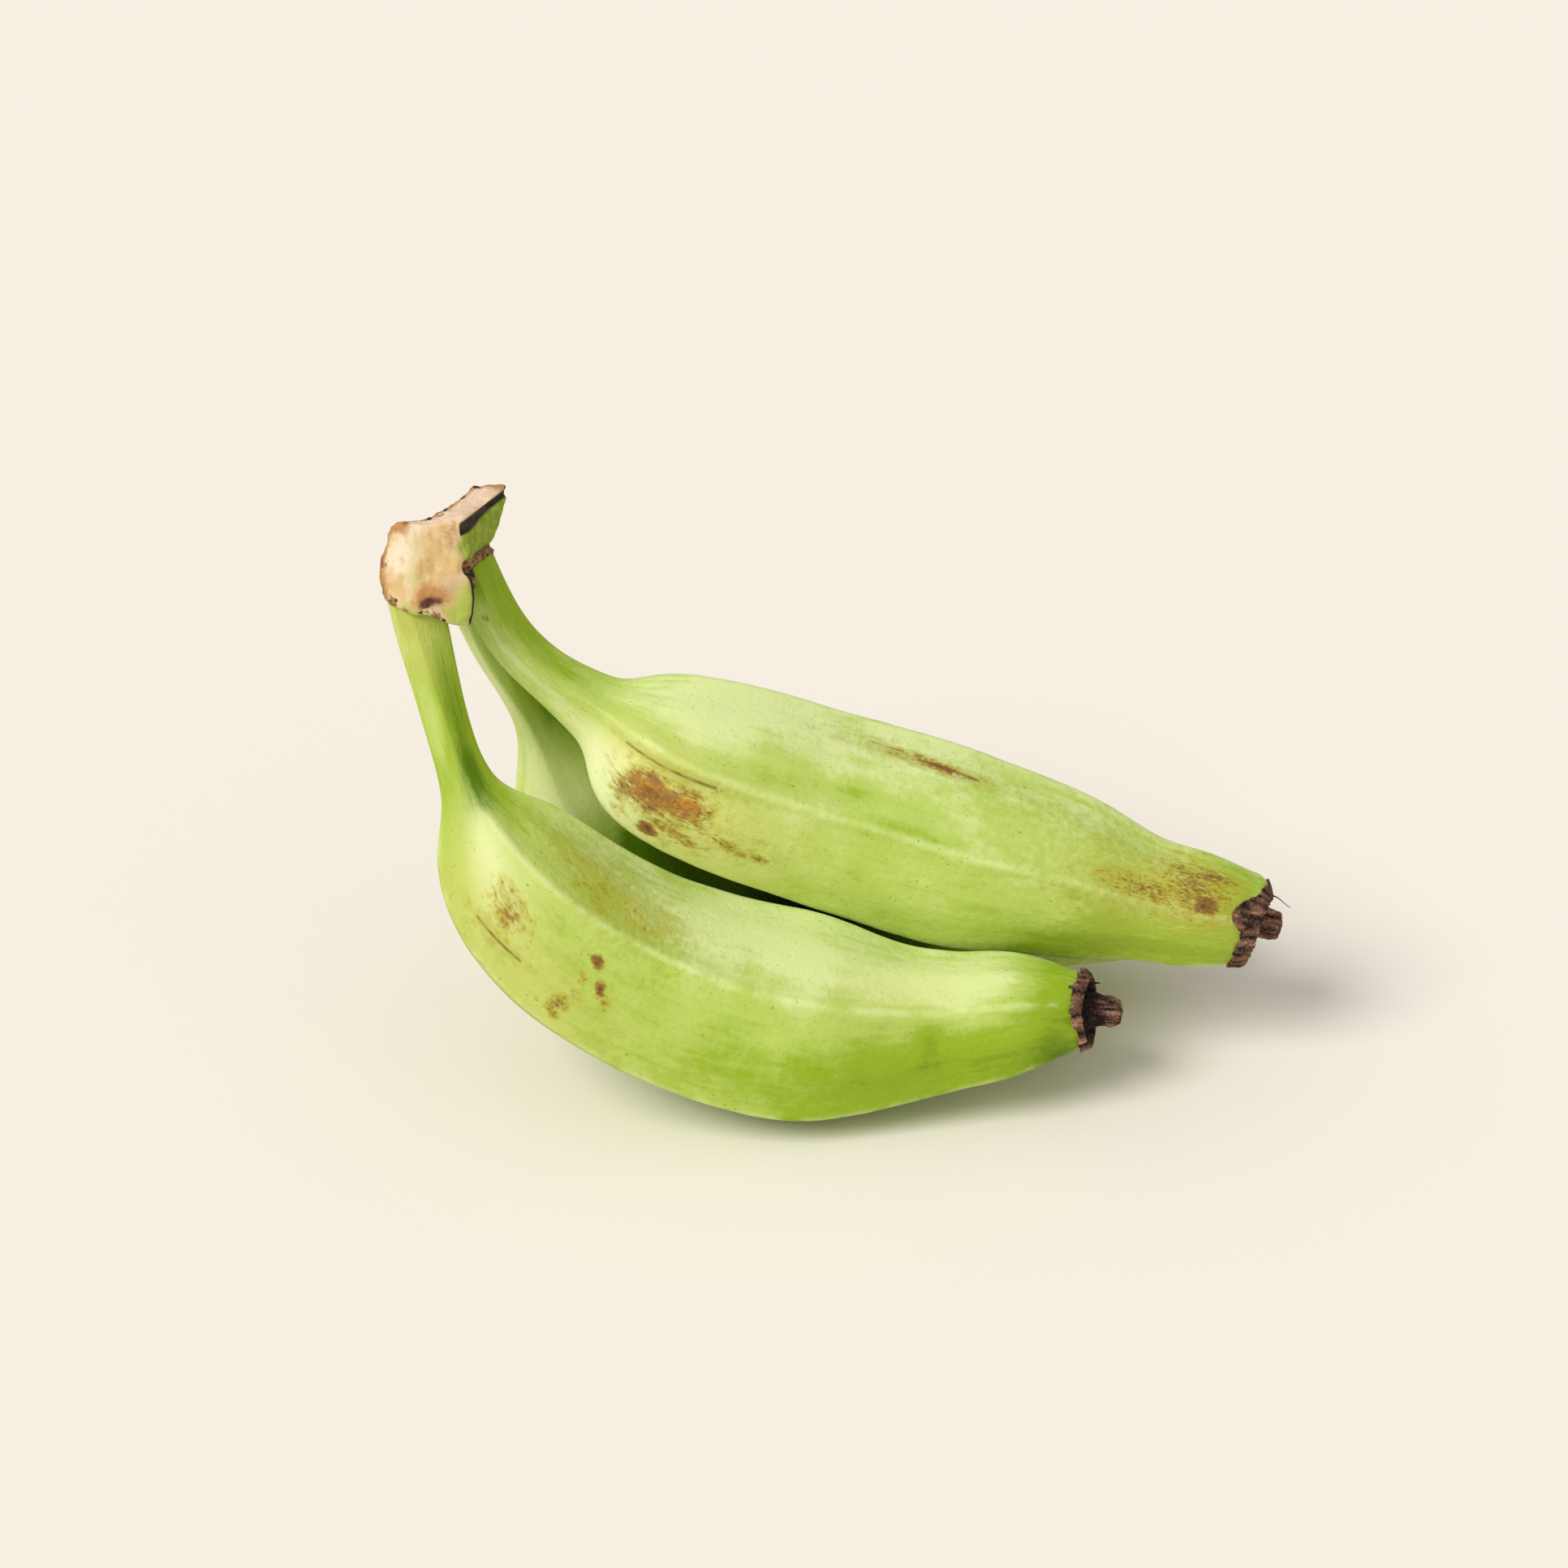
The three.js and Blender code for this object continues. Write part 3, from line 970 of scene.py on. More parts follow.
@dataclass
class Finger:
    """One finger: neck, ridged body and tip.

    Attributes:
        name: which finger it is: front, top or back.
        seed: picks its own noise.
        spine: points from the neck's root to the tip, in the drawing's frame.
        radius_knots: mean radius by place.
        sharpness_knots: how angular the section is by place, 0 for round.
        turn_knots: angle of the first ridge in degrees by place.
        on_table: whether its belly is pressed flat on the surface.
        marks: what is on its peel.
        dome: how far its rounded end would reach past the tip.
        rim: how far past the tip the rim of its flower remains stands, by angle.
        rings: rows of points along it.
        around_steps: points round each row.
        drawn_length: length before the tip in which the rows are drawn out to that rim.
        lip: how far under the rim the peel turns inward.
        lip_step: how far further back the first closing row lies.
        lip_depth: how far before the tip it closes.
        lip_shares: the closing rows' shares of the section's reach.
        rib_height: how high a ridge's rib stands.
        rib_width: how far from the ridge the rib has faded.
        groove_depth: how deep the groove beside a rib is.
        groove_away: how far from the ridge the groove's middle lies.
        groove_width: how far from its middle the groove has faded.
    """

    name: str
    seed: float
    spine: tuple[Triple, ...]
    radius_knots: Knots
    sharpness_knots: Knots
    turn_knots: Knots
    on_table: bool
    marks: tuple[Mark, ...]
    dome: float
    rim: Knots
    rings: int = 300
    around_steps: int = 280
    drawn_length: float = 14.0
    lip: float = 1.4
    lip_step: float = 0.3
    lip_depth: float = 3.6
    lip_shares: tuple[float, ...] = (0.93, 0.9, 0.5, 0.2)
    rib_height: float = 0.5
    rib_width: float = 3.4
    groove_depth: float = 0.4
    groove_away: float = 6.0
    groove_width: float = 8.0

    def __post_init__(self) -> None:
        """Makes the finger's curves."""
        points = np.array(self.spine) + DRAWING_ORIGIN
        at = np.concatenate([[0.0], np.cumsum(np.linalg.norm(np.diff(points, axis=0), axis=1))])
        self.length = float(at[-1])
        self.axes = [Spline(tuple(zip(at, points[:, k]))) for k in range(3)]
        self.radius = Spline(self.radius_knots)
        self.sharpness = Spline(self.sharpness_knots)
        self.turn = Spline(self.turn_knots)

    def middle(self, places: np.ndarray) -> np.ndarray:
        """Points of the spine, which runs straight on past the tip.

        Args:
            places: places along the finger.

        Returns:
            The spine's points there.
        """
        inside = np.minimum(places, self.length)
        points = np.stack([axis(inside) for axis in self.axes], axis=-1)
        end = self.directions(np.array(self.length))[0]
        return points + np.maximum(places - self.length, 0.0)[..., None] * end

    def directions(self, places: np.ndarray) -> tuple[np.ndarray, np.ndarray, np.ndarray]:
        """The ways in which the spine runs and the section lies.

        Args:
            places: places along the finger.

        Returns:
            Unit vectors along the spine, across it at angle 0, and across it at 90 degrees.
        """
        inside = np.clip(places, 0.1, self.length - 0.1)
        ends = [np.stack([axis(inside + d) for axis in self.axes], axis=-1) for d in (-0.1, 0.1)]
        along = ends[1] - ends[0]
        along /= np.linalg.norm(along, axis=-1, keepdims=True)
        side = np.array((0.0, -1.0, 0.0)) + along[..., 1:2] * along
        side /= np.linalg.norm(side, axis=-1, keepdims=True)
        return along, side, np.cross(along, side)

    def girth(self, places: np.ndarray) -> np.ndarray:
        """Mean radius, drawn in to a rounded end past the tip.

        Args:
            places: places along the finger.

        Returns:
            Millimetres from the spine.
        """
        past = np.maximum(places - self.length, 0.0) / self.dome
        drawn_in = np.sqrt(np.maximum(1 - past**2, 0.04))
        return self.radius(np.minimum(places, self.length)) * drawn_in

    def reach(self, places: np.ndarray, away: np.ndarray) -> np.ndarray:
        """Radius of the ridged section.

        Args:
            places: places along the finger.
            away: angle from the nearest ridge, in radians.

        Returns:
            Millimetres from the spine.
        """
        sharpness = self.sharpness(np.minimum(places, self.length))
        from_middle = HALF_RIDGE - np.minimum(np.hypot(away, RIDGE_SOFTNESS), HALF_RIDGE)
        share = (math.cos(HALF_RIDGE) / np.cos(from_middle)) ** sharpness
        return self.girth(places) * 2 * share / (1 + math.cos(HALF_RIDGE) ** sharpness)

    def around(self, places: np.ndarray, angles: np.ndarray, reach: np.ndarray) -> np.ndarray:
        """Points round the spine.

        Args:
            places: places along the finger.
            angles: angles round it, in radians.
            reach: distances from the spine.

        Returns:
            The points.
        """
        _, side, across = self.directions(places)
        cosine, sine = (reach * np.cos(angles))[..., None], (reach * np.sin(angles))[..., None]
        return self.middle(places) + side * cosine + across * sine

    def build(self, finish: bpy.types.Material) -> bpy.types.Object:
        """Makes the finger's peel and puts it in its node's stead.

        Args:
            finish: the peel's material.

        Returns:
            The piece.
        """
        peel = Peel(self)
        points = peel.points()
        fields = {}
        for name, grid in peel.fields().items():
            rows = np.broadcast_to(grid, points.shape[:2] + grid.shape[2:])
            flat = rows.reshape(-1, *grid.shape[2:])
            fields[name] = np.concatenate([flat, rows[0, :1], rows[-1, :1]])
        faces = tube_faces(*points.shape[:2])
        piece = make_piece(f"peel_{self.name}", with_hubs(points), faces, fields)
        piece.data.materials.append(finish)
        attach(piece, "root")
        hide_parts(f"finger_{self.name}")
        return piece


# ---------- flower ends ----------

# The remains are one sheet, drawn by stages from the collar's edge, which is stage 0.
AT_RIM = 3.0  # the collar's rim, from where the sheet goes down into the cup
AT_FLOOR = 5.0  # the cup's floor
AT_ROOT = 5.5  # the knob's root
KNOB_STAGES = 4.3  # stages in which the knob reaches out to its full length
AT_END = 11.0  # the middle of the knob's end

FIBRE_STEPS, FIBRE_SIDES = 16, 8


@dataclass(frozen=True)
class Fibre:
    """One stiff dark fibre: where round the tip it starts, its length, its thickness and droop."""

    angle: float
    length: float
    thick: float
    droop: float


@dataclass
class FlowerEnd:
    """The dried flower remains on a finger's tip: ridged collar, cup darkened by painted shade,
    crumpled knob, fibres.

    Lengths are in millimetres and angles in degrees.

    Attributes:
        finger: the finger it is on.
        seed: picks its own folds.
        edge: how far the collar reaches back over the peel from the tip, by angle.
        knob: how far the knob stands out past the tip.
        knob_girth: the knob's mean radius.
        lean: how far the knob leans along the two ways across the spine.
        fibres: the fibres in the cup.
        rings: rows of points from the collar's edge to the knob's end.
        around_steps: points round each row.
        floor_past: how far past the tip the cup's floor lies.
        floor_share: the floor's girth as a share of the tip's.
        torn_edge: how ragged the collar's edge is.
        torn_rim: how ragged its rim is.
        torn_end: how ragged the knob's end is.
        tuck: how far the collar's edge starts under the peel.
        collar_height: how far the collar stands off the peel, without its folds.
        cup_share: share of the finger's girth inside the rim, by stage.
        knob_share: share of the knob's girth, by stage.
    """

    finger: Finger
    seed: float
    edge: Knots
    knob: float
    knob_girth: float
    lean: tuple[float, float]
    fibres: tuple[Fibre, ...]
    rings: int = 190
    around_steps: int = 320
    floor_past: float = -1.0
    floor_share: float = 0.5
    torn_edge: float = 0.9
    torn_rim: float = 0.55
    torn_end: float = 0.8
    tuck: float = 0.9
    collar_height: float = 1.6
    cup_share: Knots = ((AT_RIM, 0.97), (3.3, 0.9), (4, 0.8), (AT_FLOOR, 0.5))
    knob_share: Knots = (
        (AT_ROOT, 1.7), (6, 1.55), (7, 1.25), (8.2, 1.05), (9.1, 1.0), (9.8, 0.8), (10.4, 0.45),
        (AT_END, 0.03),
    )

    def reach_past(self, stage: np.ndarray, angle: np.ndarray) -> np.ndarray:
        """How far past the finger's tip the sheet lies.

        Args:
            stage: stages of the sheet.
            angle: angles round the finger, in radians.

        Returns:
            Millimetres, negative on the peel.
        """
        circle = np.stack([np.cos(angle), np.sin(angle), np.zeros_like(angle)], axis=-1)
        flat = circle.reshape(-1, 3)
        torn = crumple(flat, 0.24, 3, self.seed) + crumple(flat, 0.09, 2, self.seed + 1) - 1.0
        torn = torn.reshape(stage.shape)
        edge = -round_about(self.edge, angle) - self.torn_edge * torn
        rim = round_about(self.finger.rim, angle) + self.torn_rim * torn
        collar = edge + (rim - edge) * np.clip(stage / AT_RIM, 0, 1)
        cup = rim + (self.floor_past - rim) * smooth(stage, AT_RIM, AT_FLOOR)
        end = self.knob + self.torn_end * torn
        stood = np.clip((stage - AT_ROOT) / KNOB_STAGES, 0, 1)
        out = self.floor_past + (end - self.floor_past) * stood
        out += 0.5 * smooth(stage, 9.8, AT_END)
        return np.where(stage < AT_RIM, collar, np.where(stage < AT_ROOT, cup, out))

    def bare_radius(self, stage: np.ndarray, angle: np.ndarray, place: np.ndarray) -> np.ndarray:
        """Radius of the sheet before it is folded.

        Args:
            stage: stages of the sheet.
            angle: angles round the finger, in radians.
            place: places along the finger.

        Returns:
            Millimetres from the spine.
        """
        finger = self.finger
        rim = np.repeat(round_about(finger.rim, angle[:1]), self.rings, axis=0)
        inside = finger.girth(finger.length + rim)
        inside = inside * Spline(self.cup_share)(np.clip(stage, AT_RIM, AT_FLOOR))
        floor = smooth(stage, 3.6, AT_FLOOR)
        floor_girth = self.floor_share * finger.girth(np.array(finger.length))
        inside += floor * (floor_girth - inside)
        stub = self.knob_girth * Spline(self.knob_share)(np.maximum(stage, AT_ROOT))
        away = off_ridge(angle - math.radians(finger.turn.at(finger.length)))
        radius = np.where(stage < AT_RIM, finger.reach(place, away), inside)
        return radius + smooth(stage, AT_FLOOR, 5.6) * (stub - radius)

    def folded(
        self, stage: np.ndarray, angle: np.ndarray, past: np.ndarray
    ) -> tuple[np.ndarray, np.ndarray]:
        """Folds and crumples the sheet.

        Args:
            stage: stages of the sheet.
            angle: angles round the finger, in radians.
            past: how far past the tip each point lies.

        Returns:
            How high each point's fold is, from 0 to about 1, and how far it moves outward.
        """
        on_knob = smooth(stage, 5.4, 6.4)
        tip = self.finger.radius.at(self.finger.length)
        ring = tip + (self.knob_girth - tip) * on_knob
        grown = np.stack([ring * np.cos(angle), ring * np.sin(angle), 0.22 * past], axis=-1)
        grown = grown.reshape(-1, 3)
        folds = crumple(grown, 1.9, 4, self.seed).reshape(stage.shape)
        folds = np.clip(folds / 1.05, 0, 1.2)
        lumps = ripple(grown, 4.0, self.seed + 2).reshape(stage.shape)
        dents = ripple(grown, 2.6, self.seed + 3).reshape(stage.shape)
        petals = np.cos(5 * angle + 2.0 * lumps + self.seed)
        above = self.collar_height + 1.2 * (folds - 0.3) + 0.3 * lumps
        collar = -self.tuck + smooth(stage, 0.0, 0.3) * above
        lift = (1 - on_knob) * collar * smooth(stage, 5.2, AT_RIM)
        lift += on_knob * (1.3 * (folds - 0.45) + 0.3 * petals + 0.5 * lumps + 0.4 * dents)
        return folds, lift * (smooth(stage, AT_END, 10.2) * 0.95 + 0.05)

    def points(self) -> tuple[np.ndarray, np.ndarray]:
        """Shapes the sheet.

        Returns:
            Its grid of points, and how proud each one's fold stands, from 0 to 1; held low in the
            cup, which paints shade there.
        """
        finger = self.finger
        stage, angle = np.meshgrid(
            np.linspace(0.0, AT_END, self.rings),
            np.arange(self.around_steps) * 2 * math.pi / self.around_steps,
            indexing="ij",
        )
        past = self.reach_past(stage, angle)
        place = finger.length + past
        radius = self.bare_radius(stage, angle, place)
        folds, lift = self.folded(stage, angle, past)
        points = finger.around(place, angle, np.maximum(radius + lift, 0.04))

        side, across = finger.directions(np.array(finger.length))[1:]
        leaning = self.lean[0] * side + self.lean[1] * across
        points += smooth(stage, 6.0, 10.0)[..., None] * leaning
        # painted shade: inside the cup the folds are held low, so that they take the near-black
        # crease colour
        painted_cup_shade = smooth(stage, 3.3, 4.2) * smooth(stage, 8.4, 6.4)
        return points, np.clip(folds * (1.0 - 0.9 * painted_cup_shade), 0, 1)

    def strand(self, fibre: Fibre) -> np.ndarray:
        """Shapes a fibre.

        Args:
            fibre: the fibre.

        Returns:
            Its points, ring by ring, from the cup outward.
        """
        finger = self.finger
        t = np.linspace(0.0, 1.0, FIBRE_STEPS)
        along, side, across = (d[0] for d in finger.directions(np.array([finger.length])))
        turn = math.radians(fibre.angle)
        out = math.cos(turn) * side + math.sin(turn) * across
        rim = float(round_about(finger.rim, np.array(turn)))
        root = finger.middle(np.array([finger.length + rim - 1.0]))[0]
        start = root + out * finger.radius.at(finger.length) * 0.7
        way = 0.9 * along + 0.25 * out - fibre.droop * np.array((0, 0, 1.0))
        line = start + np.outer(t * fibre.length, way)
        line += np.outer(0.35 * np.sin(7 * t + self.seed), np.cross(along, out))
        thick = fibre.thick * (1.0 - 0.6 * t)
        a = np.arange(FIBRE_SIDES) * 2 * math.pi / FIBRE_SIDES
        ring = np.cos(a)[None, :, None] * out + np.sin(a)[None, :, None] * np.cross(along, out)
        return line[:, None] + thick[:, None, None] * ring

    def build(self, finish: bpy.types.Material) -> bpy.types.Object:
        """Makes the remains and puts them in their node's stead.

        Args:
            finish: the dried flower's material.

        Returns:
            The piece.
        """
        grid, fold = self.points()
        vertices = with_hubs(grid)
        heights = np.concatenate([fold.ravel(), fold[[0, -1], 0]])
        faces = tube_faces(*grid.shape[:2])
        for fibre in self.fibres:
            strand = self.strand(fibre)
            faces += tube_faces(*strand.shape[:2], first=len(vertices))
            vertices = np.concatenate([vertices, with_hubs(strand)])
        heights = np.concatenate([heights, np.zeros(len(vertices) - len(heights))])
        fields = {"place": vertices, "fold": heights}
        piece = make_piece(f"flower_remains_{self.finger.name}", vertices, faces, fields)
        piece.data.materials.append(finish)
        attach(piece, "root")
        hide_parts(f"flower_end_{self.finger.name}")
        return piece


# ---------- crown ----------

WELL_OUTSIDE = 60.0  # farther from a block's middle than any of its surface
HALVINGS = 30


class Look(Enum):
    """What a spot of the crown shows; its value is the field that the material reads."""

    FLESH = "flesh"
    STRIP = "strip"
    SKIN = "skin"
    SHADE = "shade"
    RIM = "rim"
    CREAM = "cream"
    PITH = "pith"
    LIME = "lime"
    TOASTED = "toasted"
    STAIN = "stain"
    BAND = "band"
    DARK = "dark"


@dataclass(frozen=True)
class Cut:
    """One flat cut of a block: the way it faces, its distance from the block's middle, its look."""

    facing: Triple
    reach: float
    look: Look


@dataclass(frozen=True)
class Block:
    """A block cut flat on every side."""

    middle: Triple
    cuts: tuple[Cut, ...]

    def centre(self) -> np.ndarray:
        """The block's middle in the part's frame."""
        return np.array(self.middle) + DRAWING_ORIGIN

    def facings(self) -> np.ndarray:
        """The unit vectors that the cuts face along."""
        facing = np.array([cut.facing for cut in self.cuts], float)
        return facing / np.linalg.norm(facing, axis=1, keepdims=True)

    def depths(self, points: np.ndarray) -> np.ndarray:
        """How far each point lies outside each cut, negative inside."""
        reach = np.array([cut.reach for cut in self.cuts])
        return (points - self.centre()) @ self.facings().T - reach

    def surface(self, ways: np.ndarray, rounding: float) -> np.ndarray:
        """Finds the block's surface by halving.

        Args:
            ways: unit vectors from the block's middle.
            rounding: about how far its edges are rounded, in millimetres.

        Returns:
            The surface's point along each way.
        """
        low, high = np.zeros(len(ways)), np.full(len(ways), WELL_OUTSIDE)
        for _ in range(HALVINGS):
            middle = (low + high) / 2
            depths = self.depths(self.centre() + ways * middle[:, None])
            outside = np.exp(depths / rounding).sum(axis=1) > 1.0
            high = np.where(outside, middle, high)
            low = np.where(outside, low, middle)
        return self.centre() + ways * low[:, None]

    def add_to(self, whole: bmesh.types.BMesh, rounding: float) -> None:
        """Adds the block's surface to a mesh.

        Args:
            whole: the mesh, in metres.
            rounding: about how far the block's edges are rounded, in millimetres.
        """
        ball = bmesh.new()
        bmesh.ops.create_icosphere(ball, subdivisions=6, radius=1.0)
        ways = np.array([vertex.co for vertex in ball.verts])
        ways /= np.linalg.norm(ways, axis=1, keepdims=True)
        for vertex, point in zip(ball.verts, self.surface(ways, rounding) * MM):
            vertex.co = point
        part = bpy.data.meshes.new("block")
        ball.to_mesh(part)
        ball.free()
        whole.from_mesh(part)
        bpy.data.meshes.remove(part)


@dataclass(frozen=True)
class Stain:
    """A patch on the crown: what it adds to, its middle, radius and strength."""

    look: Look
    middle: Triple
    radius: float
    strength: float


@dataclass(frozen=True)
class Push:
    """A dent or a swelling: the surface within `radius` of `middle` moves by `by`."""

    middle: Triple
    radius: float
    by: Triple


@dataclass(frozen=True)
class Roll:
    """A corky roll along a line: where it runs and how thick it is."""

    line: tuple[Triple, ...]
    radius: float

    def middles(self) -> np.ndarray:
        """Follows the roll's line.

        Returns:
            Close points along it.
        """
        places = np.arange(len(self.line), dtype=float)
        axes = [Spline(tuple(zip(places, column))) for column in zip(*self.line)]
        steps = np.linspace(0.0, places[-1], 40)
        return np.stack([axis(steps) for axis in axes], axis=-1)

    def away(self, points: np.ndarray) -> np.ndarray:
        """Distance of each point from the roll's line."""
        gaps = points[:, None] - self.middles()[None]
        return np.sqrt((gaps**2).sum(axis=2).min(axis=1))

    def add_to(self, whole: bmesh.types.BMesh) -> None:
        """Adds the roll to a mesh, as a string of overlapping balls of uneven size.

        Args:
            whole: the mesh, in metres.
        """
        for i, middle in enumerate(self.middles()):
            radius = self.radius * (1.0 + 0.25 * math.sin(2.1 * i))
            place = Matrix.Translation(Vector(middle * MM))
            bmesh.ops.create_icosphere(whole, subdivisions=3, radius=radius * MM, matrix=place)


@dataclass
class Crown:
    """What the knife left of the stalk: a hub, a thin ear, and scars.

    Attributes:
        hub: the larger block.
        ear: the thin block that reaches up and back.
        scars: corky rolls in the notch between the ear and the top finger's neck.
        pushes: dents and swellings of the cut shape.
        flake: middle of the flake of pith that stands off the main face.
        stains: patches of colour.
        rounding: about how far the blocks' edges are rounded.
        voxel: size of the even mesh's faces.
        flake_radius: the flake's mean radius.
        flake_lift: how far the flake stands off.
        seam: about half the width over which one look passes into the next.
        band_depth: depth of the dark band under the ear's cut top.
        band_drop: how much shallower it is at the end next to the top finger.
        band_sink: how far the band has sunk in.
        cork_lift: how far the corky spots stand off.
        cork_strength: how strongly a rim's cork shows.
        cork_width: how wide it is.
        toasted_strength: how strongly the toasted flesh inside a rim shows.
        toasted_width: how wide it is.
        shade_top: heights between which the shaded side becomes bare flesh.
        shade_back: Y between which the shaded side becomes green.
    """

    hub: Block
    ear: Block
    scars: tuple[Roll, ...]
    pushes: tuple[Push, ...]
    flake: Triple
    stains: tuple[Stain, ...]
    rounding: float = 0.5
    voxel: float = 0.4
    flake_radius: float = 7.4
    flake_lift: float = 0.6
    seam: float = 0.4
    band_depth: float = 3.5
    band_drop: float = 1.3
    band_sink: float = 0.9
    cork_lift: float = 0.55
    cork_strength: float = 0.62
    cork_width: float = 1.1
    toasted_strength: float = 0.9
    toasted_width: float = 2.6
    shade_top: tuple[float, float] = (144.0, 141.5)
    shade_back: tuple[float, float] = (-13.0, -9.0)

    def solid(self) -> bpy.types.Object:
        """Joins the blocks and the scars into one even mesh.

        Returns:
            The crown's cut shape, without lifts, looks or finish.
        """
        whole = bmesh.new()
        for block in (self.hub, self.ear):
            block.add_to(whole, self.rounding)
        for scar in self.scars:
            scar.add_to(whole)
        mesh = bpy.data.meshes.new("crown_cut")
        whole.to_mesh(mesh)
        whole.free()
        piece = bpy.data.objects.new("crown_cut", mesh)
        bpy.context.scene.collection.objects.link(piece)
        remesh = piece.modifiers.new("even", "REMESH")
        remesh.mode = "VOXEL"
        remesh.voxel_size = self.voxel * MM
        relax = piece.modifiers.new("relax", "SMOOTH")
        relax.factor, relax.iterations = 0.5, 3
        graph = bpy.context.evaluated_depsgraph_get()
        even = bpy.data.meshes.new_from_object(piece.evaluated_get(graph))
        piece.modifiers.clear()
        piece.data = even
        bpy.data.meshes.remove(mesh)
        even.name = "crown_cut"
        return piece

    def looks(self, points: np.ndarray) -> dict[Look, np.ndarray]:
        """Works out what the crown shows.

        Args:
            points: the crown's points.

        Returns:
            How strongly each look shows at each point.
        """
        found = {look: np.zeros(len(points)) for look in Look}
        depths = [block.depths(points) for block in (self.hub, self.ear)]
        outside = [np.abs(depth.max(axis=1)) for depth in depths]
        on_hub = smooth(outside[1] - outside[0], -self.seam, self.seam)
        self.show_cuts(found, self.hub, depths[0], on_hub)
        self.show_cuts(found, self.ear, depths[1], 1.0 - on_hub)

        below = -depths[1][:, 0]
        reach = self.band_depth - self.band_drop * smooth(points[:, 0], -90.0, -82.0)
        under = smooth(below, 0.25, 0.7) * smooth(below - reach, 0.5, -0.5)
        found[Look.BAND] = (1 - on_hub) * under * smooth(found[Look.SKIN], 0.2, 0.6)
        found[Look.SHADE] *= smooth(points[:, 2], *self.shade_top)
        green = found[Look.SHADE] * smooth(points[:, 1], *self.shade_back)
        found[Look.SKIN] += green
        found[Look.SHADE] -= green

        gap = distance(points, self.flake)
        found[Look.PITH] = 0.6 * smooth(gap, self.flake_radius + 1.5, self.flake_radius - 2.5)
        for scar in self.scars:
            cork = smooth(scar.away(points), scar.radius * 1.7, scar.radius * 1.1)
            found[Look.RIM] += 1.2 * cork
        for stain in self.stains:
            spread = hump(distance(points, stain.middle), 2 * stain.radius)
            found[stain.look] += stain.strength * spread
        return {look: np.clip(values, 0.0, 1.3) for look, values in found.items()}

    def show_cuts(
        self, found: dict[Look, np.ndarray], block: Block, depth: np.ndarray, share: np.ndarray
    ) -> None:
        """Adds the looks of a block's cuts. A rim shows only near its cut's plane.

        Args:
            found: how strongly each look shows, which is changed.
            block: the block.
            depth: how far each point lies outside each of its cuts.
            share: how much each point belongs to this block.
        """
        weight = np.exp((depth - depth.max(axis=1, keepdims=True)) / self.seam)
        weight /= weight.sum(axis=1, keepdims=True)
        for i, cut in enumerate(block.cuts):
            if cut.look is Look.RIM:
                cork = smooth(depth[:, i], -self.cork_width, -0.1)
                toasting = smooth(depth[:, i], -self.toasted_width, -0.2)
                found[Look.RIM] += self.cork_strength * share * cork
                found[Look.TOASTED] += self.toasted_strength * share * toasting
            else:
                found[cut.look] += share * weight[:, i]

    def on_flake(self, points: np.ndarray) -> np.ndarray:
        """Finds the flake of pith, which has a sharp ragged edge.

        Args:
            points: the crown's points.

        Returns:
            1 for each point on the flake, 0 off it.
        """
        ragged = 0.9 * ripple(points, 3.5, 8) + 0.3 * ripple(points, 1.2, 9)
        away = distance(points, self.flake) + ragged
        return smooth(away, self.flake_radius, self.flake_radius - 0.9)

    def lift(self, points: np.ndarray, looks: dict[Look, np.ndarray]) -> np.ndarray:
        """How far the spongy, dried surface stands off the flat cuts.

        Args:
            points: the crown's points.
            looks: how strongly each look shows at each.

        Returns:
            Millimetres for each point.
        """
        fibres = points * np.array((1.0, 1.0, 0.25))
        lift = 0.16 * ripple(fibres, 1.8, 3) + 0.5 * ripple(points, 6.0, 4)
        lift += 0.25 * ripple(points, 2.4, 6) + 0.7 * ripple(points, 11.0, 12)
        corky = np.clip(looks[Look.RIM] + looks[Look.DARK], 0, 1)
        lift += self.cork_lift * corky * (crumple(points, 2.2, 3, 5.0) - 0.35)
        lift += self.flake_lift * self.on_flake(points) * smooth(looks[Look.SKIN], 0.6, 0.2)
        return lift - self.band_sink * looks[Look.BAND]

    def build(self, finish: bpy.types.Material) -> bpy.types.Object:
        """Makes the crown and puts it in its node's stead.

        Args:
            finish: the cut stalk's material.

        Returns:
            The piece.
        """
        piece = self.solid()
        mesh = piece.data
        count = len(mesh.vertices)
        points, normals = np.empty(count * 3), np.empty(count * 3)
        mesh.vertices.foreach_get("co", points)
        mesh.vertices.foreach_get("normal", normals)
        points, normals = points.reshape(-1, 3) / MM, normals.reshape(-1, 3)
        looks = self.looks(points)
        moved = points + normals * self.lift(points, looks)[:, None]
        for push in self.pushes:
            strength = hump(distance(points, push.middle), 2 * push.radius)
            moved += strength[:, None] * np.array(push.by)
        mesh.vertices.foreach_set("co", (moved * MM).ravel())
        for look, values in looks.items():
            store_field(mesh, look.value, values)
        store_field(mesh, "place", points)
        mesh.polygons.foreach_set("use_smooth", np.ones(len(mesh.polygons), bool))
        mesh.materials.clear()
        mesh.materials.append(finish)
        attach(piece, "root")
        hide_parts("crown")
        return piece


# ---------- studio ----------


@dataclass(frozen=True)
class Lamp:
    """A broad even light: where it comes from, its strength, and its spread in degrees."""

    name: str
    come_from: Triple
    strength: float
    spread: float

    def build(self) -> None:
        """Adds the light to the scene."""
        light = bpy.data.lights.new(self.name, "SUN")
        light.energy = self.strength
        light.angle = math.radians(self.spread)
        lamp = bpy.data.objects.new(self.name, light)
        lamp.rotation_euler = Vector(self.come_from).to_track_quat("Z", "Y").to_euler()
        bpy.context.scene.collection.objects.link(lamp)


